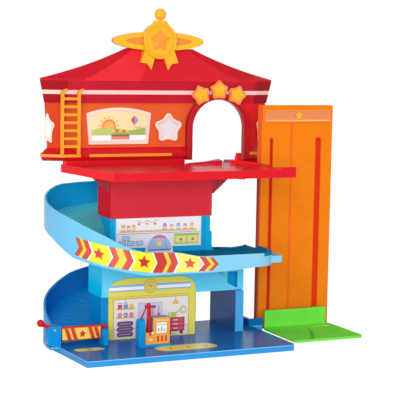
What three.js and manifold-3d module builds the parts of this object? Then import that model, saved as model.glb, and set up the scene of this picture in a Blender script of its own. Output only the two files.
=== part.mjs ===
// Toy parking garage with a lift: a two-storey garage with two spiral ramps, a red deck with a tent-roofed
// house on it, and an orange tower in which a green platform slides up and down.
// Lengths are in millimetres and +Z is up. While it is drawn, x runs to the right along the front edge of the
// base, y runs to the back, and the base's front left corner is the origin.
import * as THREE from "three";
import { mergeVertices } from "three/addons/utils/BufferGeometryUtils.js";
import Module from "manifold-3d";

const wasm = await Module();
wasm.setup();

// Walls, clearances and the fineness of round stretches
const wall = 3;
const thinWall = 2.4;
const cardThickness = 2.4;
const seatGap = 0.3;
const cutOverrun = 1;
const mergeDistance = 0.001;
const footLift = 0.01;
const arcSteps = 8;
const starSteps = 4;
const roundSteps = 28;
const ballSteps = 16;
const pinSteps = 32;

// The round part of both ramps
const rampCentreX = 110;
const rampCentreY = 160;
const rampRadius = 120;
const rampInnerRadius = 24;
const rampFloorThickness = 3;
const rampWall = 3;
const rampCurbHeight = 7;
const lowRampCurb = 1.5;
const rampSkirt = 9;
const upperRampDrop = 70;
const upperRampRise = 36;
const upperRampSkirt = 10;
const upperRampEndWall = 15;
const lowerRampRise = 64;
const lowerRampWall = 35;
const lowerRampEndWall = 27;

// Base tray
const baseWidth = 353;
const baseDepth = rampCentreY + rampRadius;
const baseHeight = 10;
const baseRim = 3;
const baseDeckThickness = 3;
const baseRibPitch = 52;
const baseStepDepth = 51;
const baseStepX = 232;
const baseCorner = 7;
const gateLedge = 4;
const footPad = 34;
const towerArmFront = 158;
const towerArmBack = 196;
const towerArmCurb = 12;
const towerArmCurbThickness = 5;
const towerPegLength = 40;
const towerPegHeight = 7;
const towerReach = 21.5;
const towerLeft = baseWidth + towerReach;
const towerFront = 175;
const towerDepth = 16;

// Storeys of the building, each standing on the one below
const buildingLeft = 72;
const buildingFront = 135;
const buildingBack = 195;
const lowerStoreyHeight = 69;
const lowerStoreyTop = baseHeight + lowerStoreyHeight;
const doorWidth = 69;
const sideWallThickness = 14;
const sideWallInset = 32;
const lowerWallRight = baseWidth - sideWallInset - sideWallThickness - doorWidth;
const sideWallProud = 10;
const sideWallBehind = 31;
const secondStoreyHeight = 69;
const middleFloor = lowerStoreyTop + secondStoreyHeight;
const middleFloorThickness = 3;
const mainOverDoor = 25;
const mainRight = lowerWallRight + mainOverDoor;
const storeyWingDepth = 5;
const storeyWingDrop = 2;
const storeyProud = 2;
const recessWidth = 19;
const recessHeight = 28;
const recessSlope = 9;
const recessInset = 11;
const bracketWidth = 19;
const bracketHeight = 18;
const bracketReach = 30;
const middleWallInset = 14;
const middleWallLeft = buildingLeft + middleWallInset;
const middleWallRight = mainRight - wall;
const middleStoreyHeight = 57;
const middleWallTop = middleFloor + middleStoreyHeight;
const middleRibWidth = 9;
const middleRibStep = 3.5;
const middleRibHeight = 30;
const domeShare = 0.497;
const domeHalf = 24.5;
const redStoreyHeight = 68;
const boxTop = middleWallTop + redStoreyHeight;
const gussetGap = 5.4;
const gussetDrop = 26;
const gussetReachRight = 36;
const gussetDropRight = 32;

// Arched picture board on the front
const boardInsetLeft = 11;
const boardRise = 10;
const boardCorner = 28;
const boardCrown = 19;

// Middle floor and its apron
const frontLane = rampCentreY - rampRadius;
const laneInset = 8;
const laneRight = baseWidth - laneInset;
const laneCorner = 45;
const apronWall = 2.6;
const apronLip = 5;
const apronCrestRun = 95;
const apronRise = 4.5;
const apronDrop = 21;
const apronLow = middleFloor - apronDrop;
const laneBehind = 33;
const laneBack = buildingFront + laneBehind;
const laneInnerStep = 1;
const laneInnerProud = 4;
const middleTongueLength = 11.5;
const middleTongueInset = 18;
const middleTongueWidth = 28;
const middleTongueHeight = 11;

// Red deck
const deckSkirt = 13;
const deckTop = boxTop + deckSkirt;
const deckThickness = 3;
const deckInset = 6;
const deckFront = frontLane + deckInset;
const deckFrontInset = 16;
const deckBackOverhang = 38;
const deckBackLeft = buildingLeft - deckBackOverhang;
const houseGap = 24;
const houseFront = towerFront + towerDepth + houseGap;
const deckBehind = 11;
const deckHoleInset = 23;
const deckHoleLeft = mainRight - deckHoleInset;
const deckHoleBehind = 37;
const deckHoleFront = buildingFront + deckHoleBehind;
const deckOverhang = 6;
const deckRight = laneRight + deckOverhang;
const towerGap = 3.5;
const tongueEnd = towerLeft - towerGap;
const tongueWidth = 44;
const tongueLip = 4;
const tongueLipLength = 24;
const deckArmLeft = laneRight;
const deckArmFront = 130;
const deckArmWidth = 59;
const deckArmEnd = deckArmLeft + deckArmWidth;
const deckArmStep = 34;
const deckRib = 2;
const holeRimDrop = 14;
const plinthLift = 6;
const railThickness = 4;
const railHeight = 7;
const railEndHeight = 3.5;
const railStartHeight = 2.3;
const railPostHeight = 19;
const railPostWidth = 8;
const railPostDepth = 6;
const railPostShare = 0.2;
const railMouth = 17;

// House on the deck
const houseLeft = 6;
const houseOverhang = 3;
const houseRight = deckArmEnd + houseOverhang;
const houseCentre = (houseLeft + houseRight) / 2;
const houseHalfWidth = (houseRight - houseLeft) / 2;
const houseDepth = 47;
const houseBack = houseFront + houseDepth;
const houseReturn = 18;
const houseFoldWidth = 32.5;
const houseFold = houseHalfWidth - houseFoldWidth;
const houseFoldDepth = 14;
const houseWall = 3;
const plinthLow = deckTop + plinthLift;
const plinthSlope = 6.5;
const trimHeight = 4.5;
const trimLow = plinthLow + plinthSlope;
const plinthShoulder = trimLow + trimHeight;
const plinthSlant = 10;
const plinthTop = plinthShoulder + plinthSlant;
const plinthProud = 9;
const plinthFoot = 3;
const plinthSpread = 7;
const houseWallHeight = 73;
const houseWallTop = plinthTop + houseWallHeight;
const houseTaper = 5;
const valanceHeight = 39.5;
const eaveHeight = houseWallTop + valanceHeight;
const eaveProud = 8;
const eaveSpread = 9;
const eaveDrop = 3;
const roofRise = 50.5;
const roofTop = eaveHeight + roofRise;
const roofTopHalfWidth = 60;
const roofFoldHalfWidth = 48;
const roofTopSetback = 11;
const roofTopFront = houseFront + roofTopSetback;
const roofKneeShare = 0.66;
const roofKneeRise = 26.5;
const roofKneeHeight = eaveHeight + roofKneeRise;
const trimProud = 1.2;
const trimGap = 20;

// Arch and the stars over it
const archInset = 37;
const archCentre = deckArmLeft - archInset;
const archRadius = 48;
const archSpringHeight = 58;
const archSpring = deckTop + archSpringHeight;
const archFrameWidth = 10.5;
const archFrameDepth = 11;
const archLift = 5;
const archFoot = deckTop + archLift;
const archStarRadius = 18;
const archStarTilt = 0.36;
const fatStarShare = 0.7;
const starShare = 0.56;
const archStarThickness = 4;
const archStarShare = 1.86;
const archStarSpread = archStarRadius * archStarShare;
const archStarRise = 8;
const archStarLift = 8;

// Ladder
const ladderInset = 21.5;
const ladderLeft = houseLeft + ladderInset;
const ladderWidth = 28;
const ladderSeat = 0.5;
const ladderFoot = plinthShoulder + ladderSeat;
const ladderHeight = 105.5;
const ladderTop = ladderFoot + ladderHeight;
const ladderRail = 5;
const ladderRungs = 7;
const ladderFirstRung = 12.7;
const ladderRungHeight = 4.4;
const ladderRungSet = 1.2;
const ladderHook = 8;
const ladderRungPitch = (ladderHeight - 2 * ladderHook - ladderFirstRung) / (ladderRungs - 1);

// Windows of the house: the star window stands beside the arch, and the picture window fills the rest
const starWindowRadius = 26.5;
const starWindowInset = 31.5;
const starWindowX = archCentre - archRadius - archFrameWidth - starWindowInset;
const starWindowReach = 32.5;
const windowRight = starWindowX - starWindowReach;
const windowGap = 17;
const windowLeft = ladderLeft + ladderWidth + windowGap;
const windowCentre = (windowLeft + windowRight) / 2;
const windowTopWidth = windowRight - windowLeft;
const windowTaper = 4.5;
const windowBottomWidth = windowTopWidth - 2 * windowTaper;
const windowSill = 5.5;
const windowLow = plinthTop + windowSill;
const windowLintel = 16.5;
const windowHigh = houseWallTop - windowLintel;
const windowCrown = 9;
const windowBorder = 5;
const windowProud = 3;
const starWindowRise = 30;
const starWindowZ = plinthTop + starWindowRise;
const starWindowBorder = 5;
const sideStarShare = 0.55;

// Emblem on the roof
const emblemShift = 6.5;
const emblemCentreX = houseCentre - emblemShift;
const emblemProud = 5;
const emblemFront = houseFront - emblemProud;
const emblemSeat = 6;
const emblemRise = 12;
const emblemCentreZ = roofTop + emblemRise;
const plateHalfWidth = 81;
const plateHalfHeight = 15.5;
const plateInsetWidth = 59;
const plateInsetHeight = 8;
const plateInsetDepth = 1.2;
const medalRadius = 29.3;
const medalThickness = 5;
const medalRim = 3.2;
const medalRimDepth = 1.4;
const medalStarRadius = 17.5;
const medalStarThickness = 2;
const medalNeckShares = [0.5, 0.67, 0.97];
const ribbonWidth = 26;
const ribbonDrop = 47;
const ribbonNotch = 10;
const finialBall = 10;
const finialNeck = 4.7;
const finialNeckTop = emblemCentreZ + medalRadius + finialNeck;
const finialShoulder = 19;
const finialNeckLow = 14.5;
const finialNeckHigh = 9.5;

// Pay station
const stationLeft = 111;
const stationFront = 64;
const stationFootHeight = 3;
const stationDepth = 20;
const columnWidth = 10;
const columnHeight = 45;
const leverOffset = 5.5;
const boardLowHeight = 22;
const boardTallWidth = 28;
const boardTallHeight = 45;
const boardThickness = 4;
const leverThickness = 4.5;
const leverGap = 2;
const leverBay = leverOffset + leverThickness + leverGap;
const leverWidth = 8;
const leverHeight = 47;
const leverPivotHeight = 20;
const leverBow = 6;
const leverPinRadius = 1.6;
const leverPinSeat = 4;

// Barrier at the foot of the lower ramp
const gateY = 116;
const gatePostOverhang = 15;
const gatePostLeft = rampCentreX - rampRadius - gatePostOverhang;
const gatePostWidth = 21;
const gatePostProud = 6.5;
const gatePostFront = gateY - gatePostProud;
const gatePostDepth = 24;
const gatePostHeight = 32;
const gatePostNotch = 18;
const gatePostChamfer = 6;
const gateArmThickness = 5.4;
const gateBarHeight = 6;
const gateBarRise = 30;
const gateBarTop = baseHeight + gateBarRise;
const gateBarRight = buildingLeft;
const gatePivotInset = 11;
const gatePivotX = gatePostLeft + gatePivotInset;
const gateBoss = 1.5;
const gatePinRadius = 2;
const gateKnobRadius = 6;
const gateKnobReach = 23.5;
const gateKnobRise = 12;
const gateKnobLength = 12;
const gateKnobTaperShare = 0.6;
const gatePanelGap = 2;
const gatePanelLeft = gatePostLeft + gatePostWidth + gatePanelGap;
const gatePanelDrop = 20;
const gatePanelThickness = 2.6;
const gateStopInset = 8.8;
const gateStopLeft = buildingLeft - gateStopInset;
const gateStopWidth = 8.5;
const gateStopProud = 17;
const gateGuide = 2.2;
const gateClearance = 0.6;

// Lift tower
const towerWidth = 136.5;
const towerRight = towerLeft + towerWidth;
const towerHeight = 384;
const headerHeight = 29;
const headerLow = towerHeight - headerHeight;
const headerProud = 2.4;
const headerNarrow = 4;
const slotLeftInset = 18.5;
const slotLeftX = towerLeft + slotLeftInset;
const slotLeftWidth = 6;
const slotRightInset = 27;
const slotRightX = towerRight - slotRightInset;
const slotRightWidth = 10;
const slotLow = 9;
const slotUnderHeader = 27;
const slotHigh = headerLow - slotUnderHeader;
const seamInset = 57.5;
const seamX = towerLeft + seamInset;
const grooveWidth = 1.4;
const grooveDepth = 0.8;
const trussPitch = 67;
const plankLength = 26;
const towerRibPitch = 74;
const towerStarRadius = 8;
const towerStarThickness = 2;
const trackWall = 2;
const trackSide = 5;
const trackDepth = 10;

// Lift carriage
const liftPanelInsetLeft = 5.5;
const liftPanelInsetRight = 12;
const liftLeft = towerLeft + liftPanelInsetLeft;
const liftRight = towerRight - liftPanelInsetRight;
const liftPanelGap = 11;
const liftPanelHeight = 33;
const liftPanelThickness = 4;
const liftPanelFront = towerFront - liftPanelGap - liftPanelThickness;
const liftFloorHeight = 1;
const platformInset = 3.5;
const platformLeft = towerLeft + platformInset;
const platformRight = towerRight - platformInset - cutOverrun / 2;
const platformCorner = 8;
const platformLength = 118;
const platformFront = liftPanelFront + liftPanelThickness - platformLength;
const platformThickness = 4;
const platformBorder = 5;
const platformLineInset = 20;
const stopLineInset = 15;
const panelRibPitch = 5.2;
const panelRibWidth = 1.7;
const panelRibDepth = 1;
const panelRibShares = [0.35, 0.85];
const shoeHeight = 16;
const shoeLow = 13;
const shoeHead = 4;
const shoeHeadProud = 3;
const shoeClearance = 0.8;

// Colours of the moulded plastics
const plastic = (name, colour, roughness = 0.35) =>
  new THREE.MeshStandardMaterial({ name, color: colour, roughness, metalness: 0 });
const blue = plastic("blue", 0x1272c4);
const darkBlue = plastic("dark_blue", 0x0f62b5);
const lightBlue = plastic("light_blue", 0x7cc9ee);
const cyan = plastic("cyan", 0x18a0d0);
const red = plastic("red", 0xd9182b);
const darkRed = plastic("dark_red", 0xc2203c);
const orange = plastic("orange", 0xf08a1d);
const wallOrange = plastic("wall_orange", 0xe8622f);
const yellow = plastic("yellow", 0xf8bb22);
const green = plastic("green", 0x4fb43c);
const paleCard = plastic("pale_card", 0xf1ead8, 0.5);
const frameYellow = plastic("frame_yellow", 0xd8cf4c, 0.45);
const paleTrim = plastic("pale_trim", 0xf8d5cb);
const steel = new THREE.MeshStandardMaterial({ name: "steel", color: 0xb9bcc0, roughness: 0.3,
  metalness: 1 });

const garage = new THREE.Group();

// Solids and meshes

function solid(geometry) {
  const bare = geometry.index ? geometry.toNonIndexed() : geometry.clone();
  bare.deleteAttribute("normal");
  bare.deleteAttribute("uv");
  const merged = mergeVertices(bare, mergeDistance);
  return new wasm.Manifold(new wasm.Mesh({
    numProp: 3,
    vertProperties: new Float32Array(merged.attributes.position.array),
    triVerts: new Uint32Array(merged.index.array),
  }));
}

function addPiece(name, body, material) {
  const data = body.getMesh();
  const geometry = new THREE.BufferGeometry();
  geometry.setAttribute("position", new THREE.BufferAttribute(data.vertProperties, 3));
  geometry.setIndex(new THREE.BufferAttribute(data.triVerts, 1));
  const mesh = new THREE.Mesh(geometry, material);
  mesh.name = name;
  garage.add(mesh);
  return mesh;
}

function joined(bodies) {
  return bodies.reduce((whole, body) => whole.add(body));
}

// Outlines

function polygon(points) {
  return new THREE.Shape(points.map(([u, v]) => new THREE.Vector2(u, v)));
}

function rectangle(left, low, right, high) {
  return polygon([[left, low], [right, low], [right, high], [left, high]]);
}

function roundedRectangle(left, low, right, high, radius) {
  const shape = new THREE.Shape();
  shape.moveTo(left + radius, low);
  shape.lineTo(right - radius, low);
  shape.absarc(right - radius, low + radius, radius, -Math.PI / 2, 0, false);
  shape.absarc(right - radius, high - radius, radius, 0, Math.PI / 2, false);
  shape.absarc(left + radius, high - radius, radius, Math.PI / 2, Math.PI, false);
  shape.absarc(left + radius, low + radius, radius, Math.PI, Math.PI * 1.5, false);
  return shape;
}

// A five-pointed star whose tips and inner corners are rounded, standing on two tips
function star(centreU, centreV, radius, innerShare = starShare, tilt = 0, squash = 1) {
  const tips = 5;
  const cornerShare = 0.3;
  const corners = [];
  for (let i = 0; i < 2 * tips; i += 1) {
    const reach = i % 2 ? radius * innerShare : radius;
    const angle = Math.PI / 2 + tilt + (i * Math.PI) / tips;
    corners.push(new THREE.Vector2(centreU + reach * squash * Math.cos(angle),
      centreV + reach * Math.sin(angle)));
  }
  const shape = new THREE.Shape();
  corners.forEach((corner, i) => {
    const before = corners[(i + corners.length - 1) % corners.length];
    const after = corners[(i + 1) % corners.length];
    const enter = corner.clone().lerp(before, cornerShare);
    const leave = corner.clone().lerp(after, cornerShare);
    if (i === 0) shape.moveTo(enter.x, enter.y);
    else shape.lineTo(enter.x, enter.y);
    shape.quadraticCurveTo(corner.x, corner.y, leave.x, leave.y);
  });
  shape.closePath();
  return shape;
}

function ellipse(centreU, centreV, halfWidth, halfHeight) {
  const shape = new THREE.Shape();
  shape.absellipse(centreU, centreV, halfWidth, halfHeight, 0, Math.PI * 2, false, 0);
  return shape;
}

// Prisms: a plan outline (x, y) raised in z, a front outline (x, z) pushed back in y, and a side outline
// (y, z) pushed to the right in x

function raised(shape, low, high, curveSteps = arcSteps) {
  const geometry = new THREE.ExtrudeGeometry(shape, {
    depth: high - low, bevelEnabled: false, curveSegments: curveSteps,
  });
  geometry.translate(0, 0, low);
  return solid(geometry);
}

function pushedBack(shape, front, back, curveSteps = arcSteps) {
  const geometry = new THREE.ExtrudeGeometry(shape, {
    depth: back - front, bevelEnabled: false, curveSegments: curveSteps,
  });
  geometry.rotateX(Math.PI / 2);
  geometry.translate(0, back, 0);
  return solid(geometry);
}

function pushedRight(shape, left, right, curveSteps = arcSteps) {
  const geometry = new THREE.ExtrudeGeometry(shape, {
    depth: right - left, bevelEnabled: false, curveSegments: curveSteps,
  });
  geometry.applyMatrix4(new THREE.Matrix4().set(0, 0, 1, left, 1, 0, 0, 0, 0, 1, 0, 0, 0, 0, 0, 1));
  return solid(geometry);
}

function block(left, right, front, back, low, high) {
  return raised(rectangle(left, front, right, back), low, high);
}

// A round bar along y, such as a hinge pin or its hole
function barAlongY(x, z, radius, front, back) {
  const geometry = new THREE.CylinderGeometry(radius, radius, back - front, pinSteps);
  geometry.translate(x, (front + back) / 2, z);
  return solid(geometry);
}

function barAlongX(y, z, radius, left, right) {
  const geometry = new THREE.CylinderGeometry(radius, radius, right - left, pinSteps);
  geometry.rotateZ(-Math.PI / 2);
  geometry.translate((left + right) / 2, y, z);
  return solid(geometry);
}

// A skin over a row of closed loops with the same number of points, with both end loops filled.
// flats are the first and last loop in their own planes, for filling them.
function loft(loops, firstFlat, lastFlat) {
  const count = loops[0].length;
  const positions = [];
  loops.forEach((loop) => loop.forEach((point) => positions.push(point.x, point.y, point.z)));
  const index = [];
  for (let i = 0; i + 1 < loops.length; i += 1) {
    for (let j = 0; j < count; j += 1) {
      const a = i * count + j;
      const b = i * count + ((j + 1) % count);
      index.push(a, b, b + count, a, b + count, a + count);
    }
  }
  const lastStart = (loops.length - 1) * count;
  THREE.ShapeUtils.triangulateShape(firstFlat, []).forEach(([a, b, c]) => index.push(c, b, a));
  THREE.ShapeUtils.triangulateShape(lastFlat, []).forEach(([a, b, c]) =>
    index.push(lastStart + a, lastStart + b, lastStart + c));
  const geometry = new THREE.BufferGeometry();
  geometry.setAttribute("position", new THREE.Float32BufferAttribute(positions, 3));
  geometry.setIndex(index);
  return solid(facingOut(geometry));
}

// The same closed skin with its faces turned so that its volume is positive
function facingOut(geometry) {
  const at = geometry.attributes.position;
  const index = geometry.index.array;
  const corner = [new THREE.Vector3(), new THREE.Vector3(), new THREE.Vector3()];
  let volume = 0;
  for (let i = 0; i < index.length; i += 3) {
    corner.forEach((point, j) => point.fromBufferAttribute(at, index[i + j]));
    volume += corner[0].dot(corner[1].clone().cross(corner[2]));
  }
  if (volume < 0) {
    for (let i = 0; i < index.length; i += 3) {
      [index[i + 1], index[i + 2]] = [index[i + 2], index[i + 1]];
    }
  }
  return geometry;
}

// Ramps: an L-shaped channel carried along a row of stations. A station has the outer and inner edge in plan,
// and the heights of the floor, the wall's top and the wall's foot.

function rampChannel(stations, curb) {
  const loops = [];
  const flats = [];
  stations.forEach((station) => {
    const outer = new THREE.Vector2(station.outer[0], station.outer[1]);
    const inner = new THREE.Vector2(station.inner[0], station.inner[1]);
    const width = outer.distanceTo(inner);
    const across = outer.clone().sub(inner).divideScalar(width);
    const foot = Math.min(station.foot, station.floor - rampFloorThickness - footLift);
    const profile = [
      [0, station.floor - rampFloorThickness],
      [width - rampWall, station.floor - rampFloorThickness],
      [width - rampWall, foot],
      [width, foot],
      [width, station.top],
      [width - rampWall, station.top],
      [width - rampWall, station.floor],
      [rampWall, station.floor],
      [rampWall, station.floor + curb],
      [0, station.floor + curb],
    ];
    flats.push(profile.map(([u, v]) => new THREE.Vector2(u, v)));
    loops.push(profile.map(([u, v]) =>
      new THREE.Vector3(inner.x + across.x * u, inner.y + across.y * u, v)));
  });
  return loft(loops, flats[0], flats[flats.length - 1]);
}

// The value at share s of a table of [share, value] pairs, straight between them
function along(table, s) {
  const next = table.findIndex(([at]) => at >= s);
  if (next <= 0) return table[Math.max(next, 0)][1];
  const [s0, v0] = table[next - 1];
  const [s1, v1] = table[next];
  return v0 + ((v1 - v0) * (s - s0)) / (s1 - s0);
}

// Base tray with its shoulder for the barrier, ribs below and the arm that carries the tower

function baseOutline(inset) {
  const corner = baseCorner - inset;
  const right = baseWidth - inset;
  const shape = new THREE.Shape();
  shape.moveTo(inset, inset);
  shape.lineTo(baseWidth - baseCorner, inset);
  shape.absarc(baseWidth - baseCorner, baseCorner, Math.max(corner, wall), -Math.PI / 2, 0, false);
  shape.lineTo(right, baseDepth - baseStepDepth - inset);
  shape.lineTo(baseStepX - inset, baseDepth - baseStepDepth - inset);
  shape.lineTo(baseStepX - inset, baseDepth - inset);
  shape.lineTo(rampCentreX, baseDepth - inset);
  shape.absarc(rampCentreX, rampCentreY, rampRadius - inset, Math.PI / 2, Math.PI, false);
  shape.lineTo(inset, inset);
  return shape;
}

function addBase() {
  const roundness = roundSteps;
  let tray = raised(baseOutline(0), 0, baseHeight, roundness);
  tray = tray.subtract(raised(baseOutline(baseRim), -cutOverrun, baseHeight - baseDeckThickness, roundness));
  const inside = raised(baseOutline(baseRim / 2), 0, baseHeight - baseDeckThickness / 2, roundness);
  const ribs = [];
  for (let x = baseRibPitch; x < baseWidth; x += baseRibPitch) {
    ribs.push(block(x, x + thinWall, 0, baseDepth, 0, baseHeight - baseDeckThickness / 2));
  }
  for (let y = baseRibPitch; y < baseDepth; y += baseRibPitch) {
    ribs.push(block(-baseWidth, baseWidth, y, y + thinWall, 0, baseHeight - baseDeckThickness / 2));
  }
  const padLeft = 2 * baseRibPitch;
  const padFront = 2 * baseRibPitch;
  ribs.push(block(padLeft, padLeft + footPad, padFront, padFront + footPad, 0,
    baseHeight - baseDeckThickness / 2));
  tray = tray.add(joined(ribs).intersect(inside));
  const armEnd = towerLeft - seatGap;
  const arm = block(baseWidth - baseRim, armEnd, towerArmFront, towerArmBack, 0, baseHeight);
  const curb = block(baseWidth - towerArmCurbThickness, armEnd, towerArmFront,
    towerArmFront + towerArmCurbThickness,
    baseHeight - baseDeckThickness, baseHeight + towerArmCurb);
  const backCurb = block(baseWidth - towerArmCurbThickness, baseWidth, towerArmFront, towerArmBack,
    baseHeight - baseDeckThickness, baseHeight + towerArmCurb);
  const peg = block(baseWidth, towerLeft + towerPegLength, towerFront + wall + seatGap,
    towerFront + towerDepth - seatGap,
    0, towerPegHeight);
  const ledge = block(gatePostLeft + gateLedge, gatePostLeft + gatePostWidth, gatePostFront,
    gatePostFront + gatePostDepth,
    baseHeight - gateLedge, baseHeight);
  addPiece("base_plate", joined([tray, arm, curb, backCurb, peg, ledge]), blue);
}

// Lower storey: front wall with its left wall, and the thick side wall beyond the doorway

function addLowerStorey() {
  const outer = rectangle(buildingLeft, buildingFront, lowerWallRight, buildingBack);
  const shell = raised(outer, baseHeight, lowerStoreyTop);
  const hollow = block(buildingLeft + wall, lowerWallRight - wall, buildingFront + wall,
    buildingBack + cutOverrun,
    baseHeight - cutOverrun, lowerStoreyTop + cutOverrun);
  const backStep = block(buildingLeft + wall, lowerWallRight + cutOverrun,
    buildingFront + wall + sideWallThickness,
    buildingBack + cutOverrun, baseHeight - cutOverrun, lowerStoreyTop + cutOverrun);
  addPiece("lower_walls", shell.subtract(hollow).subtract(backStep), blue);

  const sideLeft = lowerWallRight + doorWidth;
  const sideRight = sideLeft + sideWallThickness;
  const sideFront = buildingFront - sideWallProud;
  const sideBack = buildingBack + sideWallBehind;
  const side = block(sideLeft, sideRight, sideFront, sideBack, baseHeight, lowerStoreyTop - seatGap)
    .subtract(block(sideLeft + thinWall, sideRight - thinWall, sideFront + wall, sideBack - wall,
      baseHeight - cutOverrun, lowerStoreyTop - wall));
  addPiece("garage_side_wall", side, darkBlue);
}

// Second storey: a box that reaches over the doorway, open behind, with a wing, a window hole and a bracket

function addSecondStorey() {
  const front = buildingFront - storeyProud;
  const right = lowerWallRight + doorWidth + sideWallThickness + wall;
  const high = middleFloor - middleFloorThickness;
  const main = block(buildingLeft, mainRight, front, buildingBack, lowerStoreyTop, high);
  const wing = block(mainRight - cutOverrun, right, front, front + storeyWingDepth, lowerStoreyTop,
    high - storeyWingDrop);
  let shell = main.add(wing);
  shell = shell.subtract(block(buildingLeft + wall, mainRight - wall, front + wall, buildingBack + cutOverrun,
    lowerStoreyTop + wall, high + cutOverrun));
  shell = shell.subtract(block(mainRight - cutOverrun, right - wall, front + wall,
    front + storeyWingDepth + cutOverrun, lowerStoreyTop + wall, high));
  const holeRight = right - recessInset;
  const holeLeft = holeRight - recessWidth;
  const holeHigh = lowerStoreyTop + wall + recessHeight;
  const hole = polygon([
    [holeLeft, holeHigh], [holeLeft, lowerStoreyTop + wall + recessSlope], [holeRight, lowerStoreyTop + wall],
    [holeRight, holeHigh],
  ]);
  shell = shell.subtract(pushedBack(hole, front - cutOverrun, front + wall + cutOverrun));
  const bracketRight = holeLeft - recessSlope;
  const bracketLeft = bracketRight - bracketWidth;
  const bracketHigh = apronLow - seatGap;
  const bracket = polygon([
    [bracketLeft, bracketHigh], [(bracketLeft + bracketRight) / 2, bracketHigh - bracketHeight],
    [bracketRight, bracketHigh],
  ]);
  shell = shell.add(pushedBack(bracket, front - bracketReach, front + wall));
  addPiece("second_storey", shell, cyan);
}

// Arched picture board in front of the lower storey

function boardOutline() {
  const left = buildingLeft + boardInsetLeft;
  const right = lowerWallRight - wall;
  const spring = lowerStoreyTop + boardRise;
  const shape = new THREE.Shape();
  shape.moveTo(left, baseHeight);
  shape.lineTo(right, baseHeight);
  shape.lineTo(right, spring);
  shape.quadraticCurveTo(right, spring + boardCorner / 2, right - boardCorner, spring + boardCrown);
  shape.lineTo(left + boardCorner, spring + boardCrown);
  shape.quadraticCurveTo(left, spring + boardCorner / 2, left, spring);
  shape.closePath();
  return shape;
}

function addPictureBoard() {
  const back = buildingFront - storeyProud;
  const front = back - cardThickness;
  addPiece("front_picture_board", pushedBack(boardOutline(), front, back), frameYellow);
}

// Middle floor with its apron, turning corner and tongue

function laneOutline(inset) {
  const shape = new THREE.Shape();
  const right = laneRight - inset;
  const front = frontLane + inset;
  const radius = laneCorner - inset;
  shape.moveTo(rampCentreX, front);
  shape.lineTo(laneRight - laneCorner, front);
  shape.absarc(laneRight - laneCorner, frontLane + laneCorner, radius, -Math.PI / 2, 0, false);
  shape.lineTo(right, laneBack);
  shape.lineTo(mainRight + laneInnerStep, buildingFront - laneInnerProud);
  shape.lineTo(mainRight, buildingFront - laneInnerProud);
  shape.lineTo(mainRight, buildingBack);
  shape.lineTo(buildingLeft, buildingBack);
  shape.lineTo(buildingLeft, buildingFront);
  shape.lineTo(rampCentreX, buildingFront);
  shape.closePath();
  return shape;
}

function addMiddleFloor() {
  // The apron's top comes down from the ramp's wall to its own lip, as shares of that run and that height.
  // Its foot rises towards the lift, as shares of the lane's length and of the rise.
  const crestShares = [[0, 1], [0.2, 0.98], [0.4, 0.92], [0.6, 0.72], [0.78, 0.35], [0.9, 0.1], [1, 0]];
  const footShares = [[0.8, 1], [0.72, 0.6], [0.62, 0.2], [0.5, 0]];
  const low = middleFloor - middleFloorThickness;
  const lipTop = middleFloor + apronLip;
  const crestTop = middleFloor + upperRampEndWall;
  const floor = raised(laneOutline(0), low, middleFloor);
  const band = raised(laneOutline(0), apronLow, crestTop)
    .subtract(raised(laneOutline(apronWall), apronLow - cutOverrun, crestTop + cutOverrun));
  const front = polygon([[rampCentreX, apronLow],
    ...crestShares.map(([s, h]) => [rampCentreX + apronCrestRun * s, lipTop + (crestTop - lipTop) * h]),
    [laneRight - apronWall, lipTop], [laneRight - apronWall, apronLow + apronRise],
    ...footShares.map(([s, h]) => [rampCentreX + (laneRight - rampCentreX) * s, apronLow + apronRise * h])]);
  const frontBand = band.intersect(pushedBack(front, frontLane - cutOverrun, frontLane + laneCorner));
  const sideBand = band.intersect(block(laneRight - laneCorner, laneRight + cutOverrun, frontLane + apronWall,
    laneBack - laneCorner, apronLow + apronRise, lipTop));
  const tongueRight = laneRight + middleTongueLength;
  const tongueFront = frontLane + middleTongueInset;
  const tongueBack = tongueFront + middleTongueWidth;
  const tongueShape = roundedRectangle(laneRight - laneCorner, tongueFront, tongueRight, tongueBack, wall);
  const tongueBody = raised(tongueShape, low - middleTongueHeight, low);
  const tongueHollow = block(laneRight - laneCorner - cutOverrun, tongueRight - thinWall,
    tongueFront + thinWall,
    tongueBack - thinWall, low - middleTongueHeight - cutOverrun, low - thinWall);
  const doorway = block(laneRight - apronWall - cutOverrun, laneRight + cutOverrun, tongueFront, tongueBack,
    middleFloor, middleFloor + apronLip + cutOverrun);
  addPiece("middle_floor", joined([floor, frontBand, sideBand,
    tongueBody.subtract(tongueHollow)]).subtract(doorway),
    lightBlue);
}

// Middle storey: wall with rib, picture panel and dome card

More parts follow.
